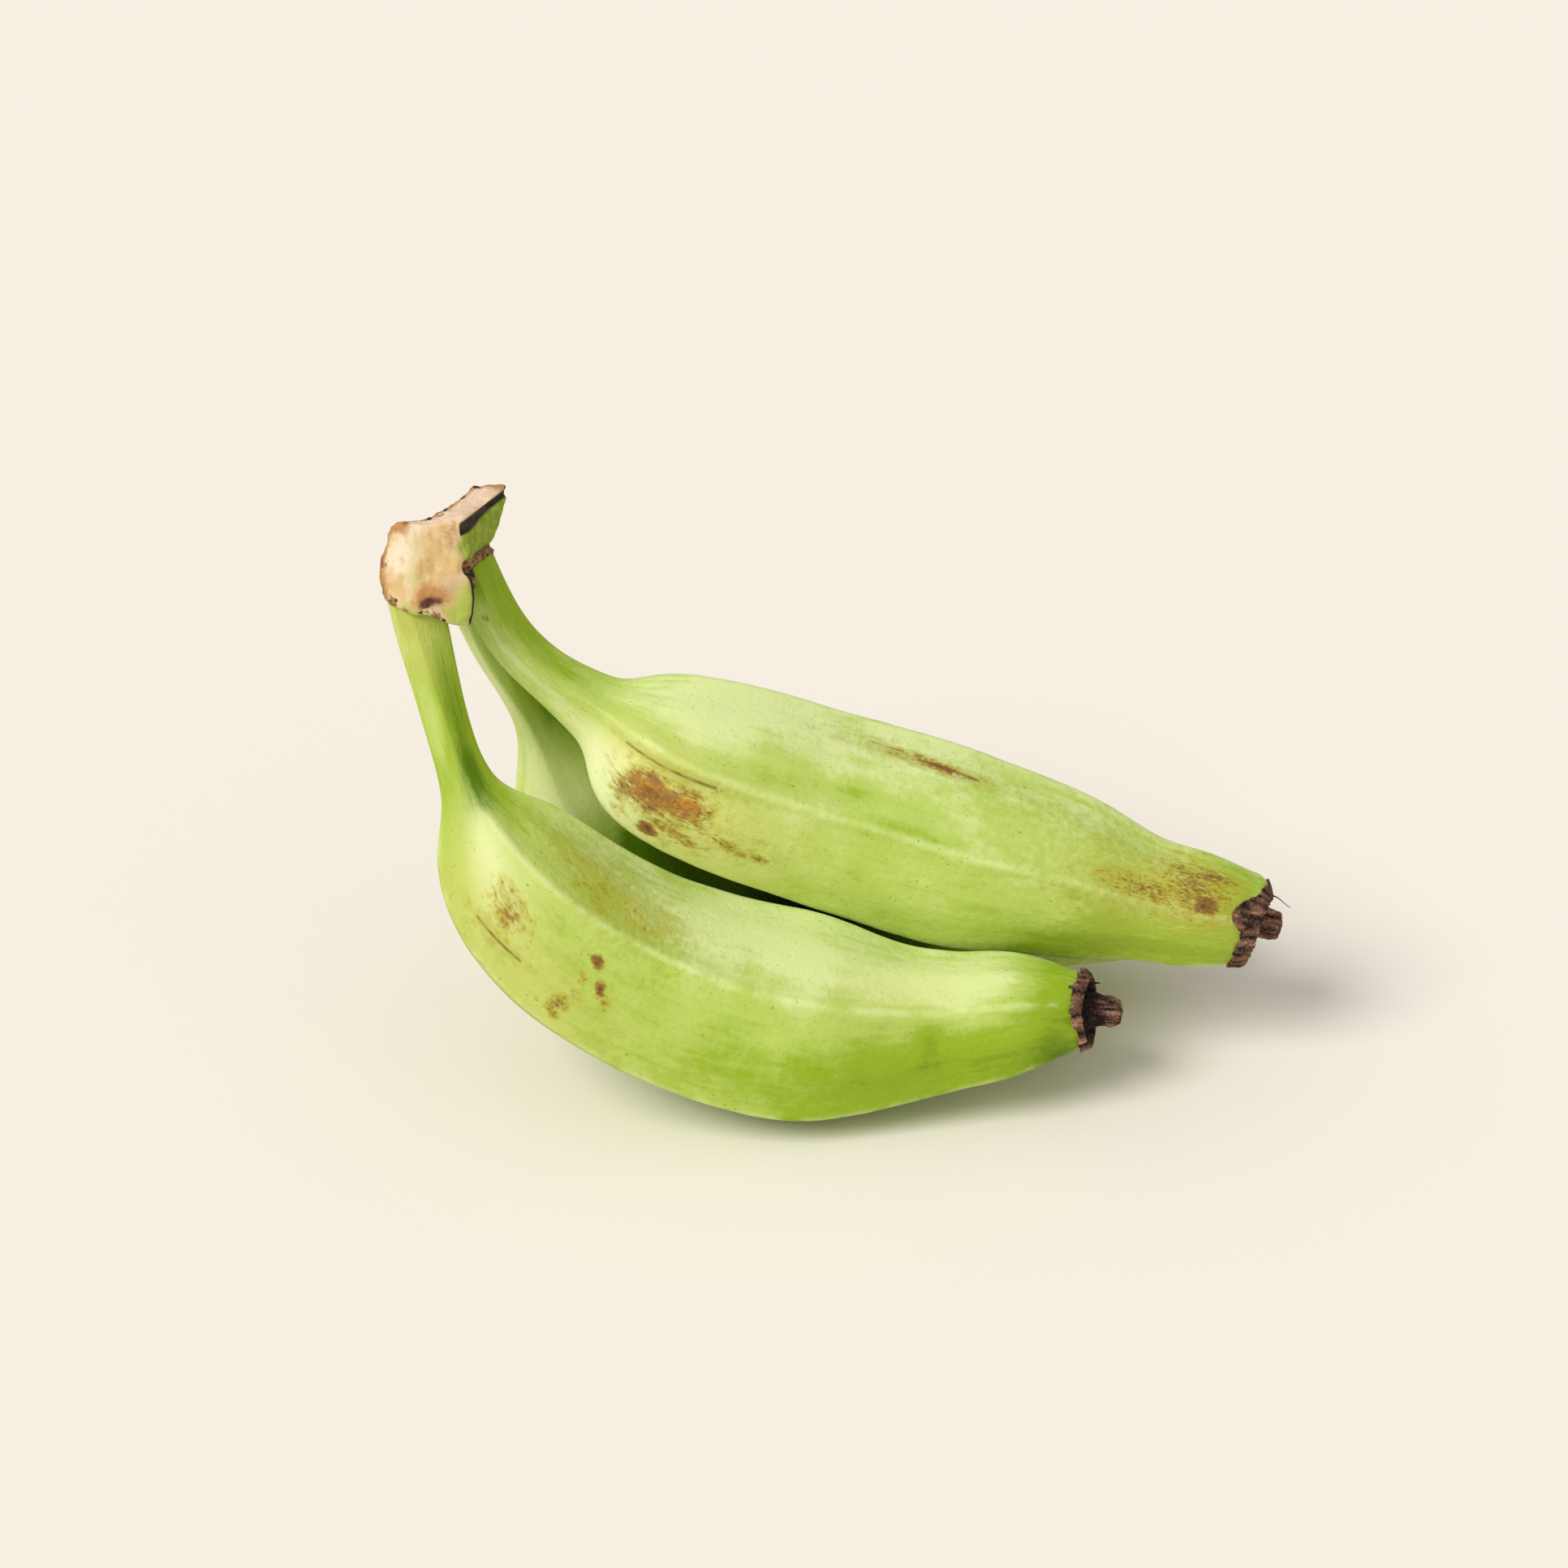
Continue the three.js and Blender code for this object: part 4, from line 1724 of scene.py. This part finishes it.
@dataclass
class Studio:
    """A plain floor, soft light and the camera.

    Attributes:
        floor_side: the floor's side, in metres.
        room_light: strength of the even light from all round.
        lamps: the lights.
        target: the point that the camera looks at, in metres.
        distance: how far the camera stands from it, in metres.
        elevation: how far the camera looks down, in degrees.
        sensor: width of the camera's sensor, in millimetres.
        focal_share: the focal length as a share of that width.
    """

    floor_side: float = 12.0
    room_light: float = 0.5
    lamps: tuple[Lamp, ...] = (
        Lamp("window", (-0.95, -0.85, 1.25), 2.1, 30.0),
        Lamp("fill", (0.9, -1.6, 1.2), 0.25, 60.0),
    )
    target: Triple = (-0.0145, -0.0017, 0.0760)
    distance: float = 1.075
    elevation: float = 30.0
    sensor: float = 36.0
    focal_share: float = 5375 / 1932

    def build(self) -> None:
        """Makes the floor, the lights and the camera."""
        half = self.floor_side / 2
        corners = np.array(((-half, -half, 0), (half, -half, 0), (half, half, 0), (-half, half, 0)))
        floor = make_piece("floor", corners / MM, [(0, 1, 2, 3)], {})
        floor.data.materials.append(FloorFinish().material())
        world = bpy.data.worlds.new("soft_room")
        world.use_nodes = True
        background = world.node_tree.nodes["Background"]
        background.inputs["Color"].default_value = (1.0, 1.0, 1.0, 1.0)
        background.inputs["Strength"].default_value = self.room_light
        bpy.context.scene.world = world
        for lamp in self.lamps:
            lamp.build()
        self.camera()
        bpy.context.scene.view_settings.view_transform = "Standard"

    def camera(self) -> None:
        """Adds the camera, level from side to side and looking down at the bunch."""
        lens = bpy.data.cameras.new("camera")
        lens.sensor_width = self.sensor
        lens.lens = self.sensor * self.focal_share
        camera = bpy.data.objects.new("camera", lens)
        tilt = math.radians(self.elevation)
        back = Vector((0.0, -math.cos(tilt), math.sin(tilt)))
        camera.location = Vector(self.target) + back * self.distance
        camera.rotation_euler = (math.radians(90.0 - self.elevation), 0.0, 0.0)
        bpy.context.scene.collection.objects.link(camera)
        bpy.context.scene.camera = camera


# ---------- the bunch ----------

SCURF, SCRATCH = MarkKind.SCURF, MarkKind.SCRATCH
YELLOWING, BRUISE = MarkKind.YELLOWING, MarkKind.BRUISE
DEEP_AND_SHADING, BLOOM, DENT = MarkKind.DEEP_GREEN_AND_PAINTED_SHADING, MarkKind.BLOOM, MarkKind.DENT

FLESH, STRIP, SKIN, SHADE, RIM = Look.FLESH, Look.STRIP, Look.SKIN, Look.SHADE, Look.RIM
CREAM, PITH, LIME, TOASTED = Look.CREAM, Look.PITH, Look.LIME, Look.TOASTED
STAIN, DARK = Look.STAIN, Look.DARK


def front_finger() -> Finger:
    """The lower finger at the front.

    Returns:
        The finger, with its marks.
    """
    return Finger(
        name="front",
        seed=1.0,
        spine=(
            (-94.5, 16.8, 134), (-91, 13, 117.5), (-85.5, 7.5, 96.5), (-78.5, 2.5, 80),
            (-66.5, 0, 61), (-42, 0, 39.7), (-16, 0, 28.6), (6, 0, 24.7), (33, 0, 24.4),
            (53, 0, 26.6), (67.5, 0, 27.5),
        ),
        radius_knots=(
            (0, 6.6), (9, 6.5), (20, 5.9), (33, 5.7), (43, 6.3), (51, 8.9), (59, 15), (70, 20.6),
            (87, 24.2), (111, 26), (139, 27), (161, 25.9), (178, 21.6), (195, 17.7), (209, 15.3),
            (222, 10.7),
        ),
        sharpness_knots=((0, 0.6), (33, 0.75), (67, 0.62), (147, 0.58), (222, 0.3)),
        turn_knots=((0, 12), (27, -4), (47, -16), (87, -36), (147, -39), (222, -40)),
        on_table=True,
        dome=3.9,
        rim=(
            (-120, 2.8), (-70, 0.8), (-30, -1.3), (10, -0.2), (60, 1.8), (110, 3.2), (150, 3.8),
            (200, 3.6),
        ),
        marks=(
            Mark(DENT, 82, -113, 56, 34, 0, 3.0),
            Mark(DENT, 134, -113, 50, 34, 0, 1.3),
            Mark(DENT, 182, -113, 36, 34, 0, 1.8),
            Mark(DEEP_AND_SHADING, 200, 20, 46, 26, 0, 0.75),
            Mark(DEEP_AND_SHADING, 152, 8, 44, 30, 0, 0.3),
            Mark(DEEP_AND_SHADING, 80, 36, 44, 30, 0, 0.3),
            Mark(DEEP_AND_SHADING, 187, -15, 5, 12, 0, 0.35),
            Mark(DEEP_AND_SHADING, 120, 80, 120, 30, 0, 0.5),
            Mark(DEEP_AND_SHADING, 219, -30, 12, 60, 0, 0.7),
            # painted shade: darker green on the neck's right face, turned from the light
            Mark(DEEP_AND_SHADING, 26, -42, 40, 7, 0, 1.0),
            Mark(DEEP_AND_SHADING, 44, -34, 14, 8, 0, 0.45),
            Mark(DEEP_AND_SHADING, 84, -50, 40, 9, 4, 0.15),
            Mark(DEEP_AND_SHADING, 124, -28, 40, 16, 0, 0.15),
            Mark(DEEP_AND_SHADING, 182, -78, 22, 14, 0, 0.5),
            Mark(DEEP_AND_SHADING, 7, 22, 14, 8, 0, 0.5),
            Mark(DEEP_AND_SHADING, 46, 40, 14, 6, 0, 0.3),
            Mark(DEEP_AND_SHADING, 48, -24, 14, 6, 0, 0.3),
            Mark(DEEP_AND_SHADING, 76, 14, 34, 22, 0, 0.35),
            # painted light: paler green on the top face, which the light falls on
            Mark(DEEP_AND_SHADING, 150, -75, 70, 26, 0, -0.5),
            Mark(DEEP_AND_SHADING, 192, -66, 26, 12, 0, -0.8),
            Mark(YELLOWING, 6, 22, 20, 12, 0, 0.6),
            Mark(YELLOWING, 64, 4, 26, 22, 0, 0.25),
            Mark(YELLOWING, 85, 30, 44, 26, 0, 0.45),
            Mark(YELLOWING, 180, -55, 30, 12, 0, 0.3),
            # painted highlight: whitish patch at the body's left end, which faces the light
            Mark(BLOOM, 61, -6, 20, 8, 12, 0.6),
            Mark(BRUISE, 5, 8, 12, 8, 0, 0.6),
            Mark(BRUISE, 3, 34, 7, 4, 0, 0.9),
            Mark(BRUISE, 82, -57, 40, 14, 10, 0.9),
            Mark(BRUISE, 104, -62, 26, 9, 6, 0.7),
            Mark(BRUISE, 77.3, 21, 18, 4, -17, 0.8),
            Mark(SCURF, 84, -57, 40, 16, 10, 0.32),
            Mark(SCURF, 101, -54, 22, 10, 0, 0.36),
            Mark(SCURF, 73, 2, 18, 14, 20, 0.6),
            Mark(SCURF, 74, 4, 9, 8, 20, 0.9),
            Mark(SCURF, 95.4, -18, 5.6, 4, 30, 2.1),
            Mark(SCURF, 100.4, -6, 6.4, 3.2, 60, 1.9),
            Mark(SCURF, 103, -1, 7, 4, 60, 0.7),
            Mark(SCURF, 97.2, 8, 6, 4, 80, 0.7),
            Mark(SCURF, 96.0, 20, 10, 6, 80, 0.85),
            Mark(SCURF, 95.5, -6, 6, 4, 80, 0.5),
            Mark(SCRATCH, 77.3, 21, 12.6, 0.55, -17),
            Mark(SCRATCH, 99, -101, 9, 0.35, -4),
            Mark(SCRATCH, 179, 43, 5, 1.1, 10),
        ),
    )


def top_finger() -> Finger:
    """The finger that lies on the other two.

    Returns:
        The finger, with its marks.
    """
    return Finger(
        name="top",
        seed=2.0,
        spine=(
            (-83.3, 25.5, 145), (-78.6, 26, 130), (-72.4, 27, 116.5), (-60, 27, 104), (-47, 26, 95),
            (-33.5, 25, 86.3), (-18.5, 26.2, 78.8), (2, 28, 70), (23, 27.6, 62.8), (39, 26.4, 58),
            (55, 25.2, 54.3), (71, 24, 49.5), (92, 22, 44.5), (108, 22, 41),
        ),
        radius_knots=(
            (0, 5.2), (16, 5.5), (31, 5.9), (43, 6.3), (54, 7.7), (60, 9.8), (65, 14.2), (71, 18.2),
            (82, 21.6), (98, 23.6), (120, 24.3), (160, 24.2), (176, 21.9), (193, 18.6), (204, 15.8),
            (217, 14.4), (231, 11.4),
        ),
        sharpness_knots=((0, 0.6), (30, 0.75), (70, 0.65), (140, 0.5), (231, 0.3)),
        turn_knots=((0, -8), (30, -18), (50, -21), (110, -24), (231, -24)),
        on_table=False,
        dome=7.0,
        rim=(
            (-120, 6.4), (-89, 6), (-59, 4.4), (-30, 2.2), (0, 1.9), (60, 1.8), (150, 3.2),
            (200, 5),
        ),
        marks=(
            Mark(DENT, 68, 62, 26, 24, 0, -1.5),
            Mark(DEEP_AND_SHADING, 97, -62, 30, 14, 0, 0.15),
            Mark(DEEP_AND_SHADING, 85, -28, 24, 6, 0, 0.3),
            Mark(DEEP_AND_SHADING, 118, -40, 30, 4, -5, 0.35),
            Mark(DEEP_AND_SHADING, 137, -27, 24, 4, -5, 0.35),
            Mark(DEEP_AND_SHADING, 95, -44, 26, 8, 0, 0.1),
            # painted light: paler green on the top face, which the light falls on
            Mark(DEEP_AND_SHADING, 82, -70, 30, 18, 0, -0.5),
            Mark(DEEP_AND_SHADING, 120, -80, 60, 20, 0, -0.3),
            Mark(DEEP_AND_SHADING, 200, 12, 50, 22, 0, 0.5),
            # painted shade: darker green on the underside, where it lies close over the front
            # finger
            Mark(DEEP_AND_SHADING, 150, 66, 130, 20, 0, 0.35),
            # painted shade: darker green on the neck's right face, turned from the light
            Mark(DEEP_AND_SHADING, 22, -58, 46, 8, 0, 0.7),
            Mark(DEEP_AND_SHADING, 4, -20, 20, 60, 0, 0.3),
            # painted light: paler green down the front of the neck, on its lit side
            Mark(DEEP_AND_SHADING, 28, 4, 30, 7, 0, -0.3),
            Mark(DEEP_AND_SHADING, 225, -60, 12, 30, 0, 0.5),
            Mark(YELLOWING, 84, 22, 40, 24, 0, 0.7),
            Mark(YELLOWING, 70, 0, 14, 14, 0, 0.5),
            Mark(YELLOWING, 206, -30, 40, 14, 0, 0.3),
            # painted highlight: whitish patches at the body's left end, which faces the light
            Mark(BLOOM, 65, 26, 16, 9, 0, 0.8),
            Mark(BLOOM, 70, 52, 16, 9, 0, 0.6),
            Mark(BRUISE, 77, -15, 26, 3, -6, 1.1),
            Mark(BRUISE, 138, -76, 44, 5, 3, 0.9),
            Mark(BRUISE, 101, 12, 20, 10, 0, 0.5),
            Mark(BRUISE, 206, -40, 46, 18, 0, 0.9),
            Mark(SCURF, 80, 15, 34, 27, 0, 0.5),
            Mark(SCURF, 76, 9, 15, 15, 20, 1.6),
            Mark(SCURF, 83, 5, 16, 14, 0, 1.3),
            Mark(SCURF, 71.5, 20, 9, 13, 0, 0.85),
            Mark(SCURF, 74.5, 2, 11, 4, 0, 0.55),
            Mark(SCURF, 84.5, 30, 18, 5, 6, 0.95),
            Mark(SCURF, 80.1, 38, 5.2, 4.4, 0, 2.0),
            Mark(SCURF, 96, 20, 24, 6, 8, 0.7),
            Mark(SCURF, 104.4, 22, 7, 4.4, 8, 0.95),
            Mark(SCURF, 141, -76, 40, 6, 3, 0.75),
            Mark(SCURF, 145, -75, 24, 5.4, 3, 0.9),
            Mark(SCURF, 214, -50, 30, 25, 0, 0.8),
            Mark(SCURF, 216.7, -35, 12, 9, 0, 0.8),
            Mark(SCURF, 217.2, -34, 8, 6, 0, 1.9),
            Mark(SCURF, 202, -36, 34, 9, 0, 0.8),
            Mark(SCURF, 218, -66, 20, 8, 0, 0.9),
            Mark(SCURF, 19.3, 16, 3, 2.4, 0, 0.8),
            Mark(SCRATCH, 76.5, -14.6, 21, 0.5, -6),
            Mark(SCRATCH, 87.8, -16, 3, 0.32, -50),
            Mark(SCRATCH, 146, -75.4, 17, 0.75, 3),
            Mark(SCRATCH, 129, -80, 9, 0.35, 3),
        ),
    )


def back_finger() -> Finger:
    """The finger at the back, under the top one.

    Returns:
        The finger, with its marks.
    """
    return Finger(
        name="back",
        seed=3.0,
        spine=(
            (-85, 36.5, 131), (-79.3, 38.5, 112), (-72.8, 41, 98), (-67.8, 44, 86),
            (-63.8, 46.5, 75.5), (-54, 49.5, 56.5), (-36, 51.2, 38.6), (-14, 53.5, 25.5),
            (10, 55.2, 23.3), (36, 56.2, 23.8), (62, 55.7, 24.2), (80, 55, 24.6), (95.5, 54, 25.6),
        ),
        radius_knots=(
            (0, 5.6), (20, 5.6), (36, 5.8), (49, 6.4), (59, 9.6), (69, 15.4), (80, 19.4),
            (102, 22.4), (128, 23.8), (154, 23.2), (180, 20.4), (204, 17.6), (222, 15.8),
            (230, 14.4), (238, 11),
        ),
        sharpness_knots=((0, 0.6), (30, 0.8), (80, 0.65), (150, 0.5), (238, 0.3)),
        turn_knots=((0, 28), (40, 18), (70, 4), (100, -20), (150, -36), (238, -38)),
        on_table=True,
        rings=260,
        dome=5.0,
        rim=((-120, 3), (-30, 2.4), (60, 2), (150, 1.2)),
        marks=(
            # painted shade: darker green on the neck's right strip, in the shadow of the top
            # finger's neck
            Mark(DEEP_AND_SHADING, 42, -40, 26, 8, 0, 1.2),
            # painted light: paler green on the lit fronts of the body's left end and of the neck
            Mark(DEEP_AND_SHADING, 66, 5, 18, 24, 0, -0.35),
            Mark(DEEP_AND_SHADING, 31, 43, 20, 10, 0, -0.4),
            # painted shade: deep to near-black green where the back finger shows through the gap
            # between the other two
            Mark(DEEP_AND_SHADING, 94, -26, 26, 12, 0, 1.3),
            Mark(DEEP_AND_SHADING, 142, -30, 56, 30, 0, 3.4),
            Mark(DEEP_AND_SHADING, 205, 180, 50, 50, 0, 0.6),
            # partly the peel's yellowing and partly painted light on the body's lit left end
            Mark(YELLOWING, 64, 4, 20, 20, 0, 0.3),
            Mark(YELLOWING, 70, -150, 36, 30, 0, 0.5),
            # painted highlight: whitish patch at the body's left end, which faces the light
            Mark(BLOOM, 60, 12, 26, 14, 0, 0.4),
            Mark(BRUISE, 92, -120, 34, 12, 0, 0.6),
            Mark(SCURF, 118, 168, 18, 7, 10, 0.8),
            Mark(SCURF, 126, 176, 8, 5, 0, 0.9),
            Mark(SCURF, 222, -150, 20, 14, 0, 0.6),
            Mark(SCRATCH, 150, -152, 22, 0.45, 8),
        ),
    )


def crown() -> Crown:
    """The cut crown with its colours.

    Returns:
        The crown, with its dents and stains.
    """
    return Crown(
        hub=Block(
            middle=(-90.8, 20, 139.2),
            cuts=(
                Cut((-1, -0.1, 0), 12, RIM),
                Cut((-0.5, -0.85, 0.15), 11.4, FLESH),
                Cut((0.1, -0.97, 0.2), 11, FLESH),
                Cut((0.98, 0.12, 0.13), 7.9, SHADE),
                Cut((0, 0, 1), 16.2, STRIP),
                Cut((-0.72, 0.69, 0.45), 7.6, RIM),
                Cut((0.25, 0.95, 0.2), 21.7, SKIN),
                Cut((-0.25, -0.1, -0.95), 8.2, SKIN),
            ),
        ),
        ear=Block(
            middle=(-79.6, 27, 148.2),
            cuts=(
                Cut((0, 0, 1), 7.2, STRIP),
                Cut((0.887, -0.462, 0.05), 4, SKIN),
                Cut((0.8, 0.45, -0.54), 4.4, SKIN),
                Cut((-0.37, 0.93, 0.1), 5.2, RIM),
                Cut((-0.72, 0.69, 0.2), 5.2, RIM),
                Cut((-0.6, -0.8, 0), 13.5, FLESH),
                Cut((0.1, 0, -1), 5, SKIN),
            ),
        ),
        scars=(
            Roll(
                ((-89.8, -13.4, 142.6), (-88, -10, 142.3), (-86.2, -7, 142.2), (-84.8, -4.6, 142)),
                1.2,
            ),
            Roll(((-89.6, -13.4, 142), (-89.2, -12.6, 139.5), (-88.8, -12.4, 137)), 0.8),
        ),
        pushes=(
            Push((-99.6, -8.2, 153.6), 4.4, (0.8, -1.9, -0.4)),
            Push((-95.6, -3.8, 153.6), 4.6, (0.9, -2.4, -0.5)),
            Push((-107.2, -13.0, 151.6), 2.6, (-0.8, 0.0, 0.6)),
            Push((-88.9, -17.2, 138.6), 3.2, (0.7, -0.2, 0.0)),
            Push((-88.6, -18.0, 133.6), 3.4, (0.4, -0.6, 0.0)),
            Push((-89.4, -18.9, 129.2), 2.4, (-1.3, 0.0, 0.5)),
            Push((-89.6, -12.8, 145.6), 2.2, (1.2, -0.6, 0.0)),
            Push((-90.0, -14.3, 142.6), 1.3, (-1.0, 0.5, 0.0)),
            Push((-98.6, -19.0, 131.6), 3.0, (0.0, 0.6, 0.7)),
            Push((-100.5, -17.0, 142.0), 5.0, (0.2, 0.5, 0.0)),
            Push((-98.2, -18.6, 135.2), 1.4, (0.0, 0.9, 0.0)),
            Push((-98.8, -9.6, 153.9), 0.9, (-0.3, 0.3, 0.9)),
            Push((-95.2, -5.6, 153.9), 1.0, (-0.3, 0.3, 0.8)),
            Push((-88.4, 4.4, 153.9), 1.4, (-0.3, 0.4, 0.7)),
        ),
        flake=(-92.4, -17.8, 134.6),
        stains=(
            # partly the cut flesh's own cream and partly a painted highlight on the left of the cut
            # face, which faces the light
            Stain(CREAM, (-105.8, -15.0, 145.7), 4.9, 1.1),
            Stain(CREAM, (-104.6, -16.0, 139.0), 4.0, 0.15),
            Stain(CREAM, (-101.5, -13.5, 152.4), 2.8, 1.1),
            Stain(CREAM, (-97.4, -18.8, 133.2), 1.5, 1.2),
            Stain(CREAM, (-96.4, -10.5, 153.9), 3.0, 0.7),
            # painted highlight: a small pale spot on the lobe's right edge
            Stain(CREAM, (-88.4, -17.4, 134.0), 0.9, 0.5),
            Stain(PITH, (-93.6, -17.0, 140.6), 2.4, 0.5),
            Stain(LIME, (-103.6, -17.4, 133.0), 2.4, 0.6),
            Stain(LIME, (-101.0, -18.4, 131.8), 1.6, 0.8),
            Stain(LIME, (-92.2, -17.6, 136.6), 2.0, 0.3),
            Stain(LIME, (-90.4, -14.2, 147.4), 1.8, 0.9),
            Stain(LIME, (-89.6, -13.6, 144.6), 1.5, 0.9),
            Stain(LIME, (-89.4, -17.2, 139.0), 2.2, 0.6),
            Stain(LIME, (-89.2, -17.8, 135.0), 2.8, 0.85),
            Stain(LIME, (-90.0, -18.4, 130.8), 2.8, 1.05),
            Stain(LIME, (-93.2, -18.6, 132.4), 2.2, 0.7),
            Stain(LIME, (-101.2, -15.0, 149.4), 2.0, 0.25),
            Stain(LIME, (-101.4, -15.8, 144.0), 4.4, 0.32),
            Stain(LIME, (-101.2, -16.6, 139.6), 2.2, 0.35),
            Stain(TOASTED, (-99.0, -18.2, 137.6), 2.4, 0.9),
            Stain(TOASTED, (-95.4, -18.0, 136.8), 2.6, 0.8),
            Stain(TOASTED, (-101.0, -18.6, 134.8), 2.2, 0.6),
            Stain(TOASTED, (-93.4, -14.5, 151.2), 1.7, 0.6),
            Stain(TOASTED, (-93.0, -14.5, 148.4), 1.5, 0.6),
            Stain(TOASTED, (-104.8, -14.4, 153.2), 2.2, 1.25),
            Stain(TOASTED, (-82.6, 5.2, 153.9), 2.4, 1.0),
            Stain(STAIN, (-98.2, -18.4, 134.9), 1.7, 1.1),
            Stain(STAIN, (-99.8, -18.8, 134.2), 1.2, 0.8),
            Stain(STAIN, (-96.2, -18.2, 135.6), 1.1, 0.7),
            Stain(RIM, (-96.8, -19.2, 130.8), 1.8, 0.9),
            Stain(RIM, (-99.6, -19.2, 132.4), 1.4, 0.6),
            Stain(RIM, (-107.4, -15.3, 133.6), 1.8, 0.9),
            Stain(RIM, (-92.6, -14.3, 153), 0.9, 0.5),
            Stain(RIM, (-103.6, -13.6, 153.9), 1.1, 0.9),
            Stain(RIM, (-109.0, -13.0, 143.0), 2.0, 0.45),
            Stain(RIM, (-104.0, -17.6, 132.2), 1.5, 0.7),
            Stain(RIM, (-96.4, -7.0, 153.9), 1.6, 0.7),
            Stain(RIM, (-85.0, 6.4, 153.9), 1.6, 0.8),
            Stain(DARK, (-98.6, -18.4, 134.4), 0.8, 0.5),
            Stain(DARK, (-100.3, -19.3, 132.2), 0.7, 1.0),
            Stain(DARK, (-94.8, -19.1, 130.4), 0.7, 0.8),
            Stain(DARK, (-106.3, -16, 134.6), 0.6, 0.8),
            Stain(DARK, (-88.6, -13.2, 140.6), 1.4, 0.9),
            Stain(DARK, (-98.8, -9.8, 153.9), 0.9, 1.1),
            Stain(DARK, (-95.2, -5.8, 153.9), 0.9, 0.9),
            Stain(DARK, (-91.2, 0.8, 153.9), 1.2, 0.9),
            Stain(DARK, (-88.0, 4.6, 153.9), 1.6, 1.0),
            Stain(DARK, (-80.8, 4.6, 153.0), 1.2, 1.0),
        ),
    )


def flower_ends(front: Finger, top: Finger, back: Finger) -> list[FlowerEnd]:
    """The dried flower remains on the three tips.

    Args:
        front: the lower finger at the front.
        top: the finger that lies on the other two.
        back: the finger at the back.

    Returns:
        The remains, in the order of the fingers.
    """
    return [
        FlowerEnd(
            finger=front,
            seed=1.0,
            edge=(
                (-120, 0.6), (-100, 1.2), (-77, 2.6), (-68, 3.6), (-66, 5), (-64, 3.8), (-45, 4.2),
                (-33, 4), (-31, 4.9), (-29, 4), (-12, 4.2), (-2, 2.6), (15, 2.6), (35, 1.8),
                (90, 1.5), (180, 1),
            ),
            knob=8.6,
            knob_girth=3.4,
            lean=(0.6, 0.6),
            fibres=(Fibre(-75, 6.5, 0.4, 0.45), Fibre(-110, 3.0, 0.35, 0.2)),
        ),
        FlowerEnd(
            finger=top,
            seed=2.0,
            edge=(
                (-125, -4.4), (-89, -3.4), (-62, -0.6), (-48, 3.6), (-36, 6.4), (-24, 6.8),
                (-12, 3.4), (2, 2.8), (16, 3.4), (30, 2.6), (43, 3.0), (70, 1.4), (100, 1),
                (180, 0.5),
            ),
            knob=9.2,
            knob_girth=3.3,
            lean=(1.0, 0.8),
            fibres=(Fibre(-85, 5.5, 0.2, 0.75), Fibre(60, 3.0, 0.2, 0.3)),
        ),
        FlowerEnd(
            finger=back,
            seed=3.0,
            edge=((-120, 2.5), (-30, 2), (60, 3), (120, 5), (150, 4.6), (190, 2.5)),
            knob=8.0,
            knob_girth=3.8,
            lean=(-0.6, 0.8),
            fibres=(Fibre(30, 5.0, 0.25, 0.4),),
        ),
    ]


def main() -> None:
    logging.basicConfig(level=logging.INFO, format="%(name)s: %(message)s")
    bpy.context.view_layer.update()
    Studio().build()
    peel = PeelFinish().material()
    dried = DriedFlowerFinish().material()
    fingers = [front_finger(), top_finger(), back_finger()]
    pieces = [finger.build(peel) for finger in fingers]
    pieces += [end.build(dried) for end in flower_ends(*fingers)]
    pieces.append(crown().build(CutStalkFinish().material()))
    for piece in pieces:
        LOG.info("%s: %d faces", piece.name, len(piece.data.polygons))


if __name__ == "__main__":
    main()
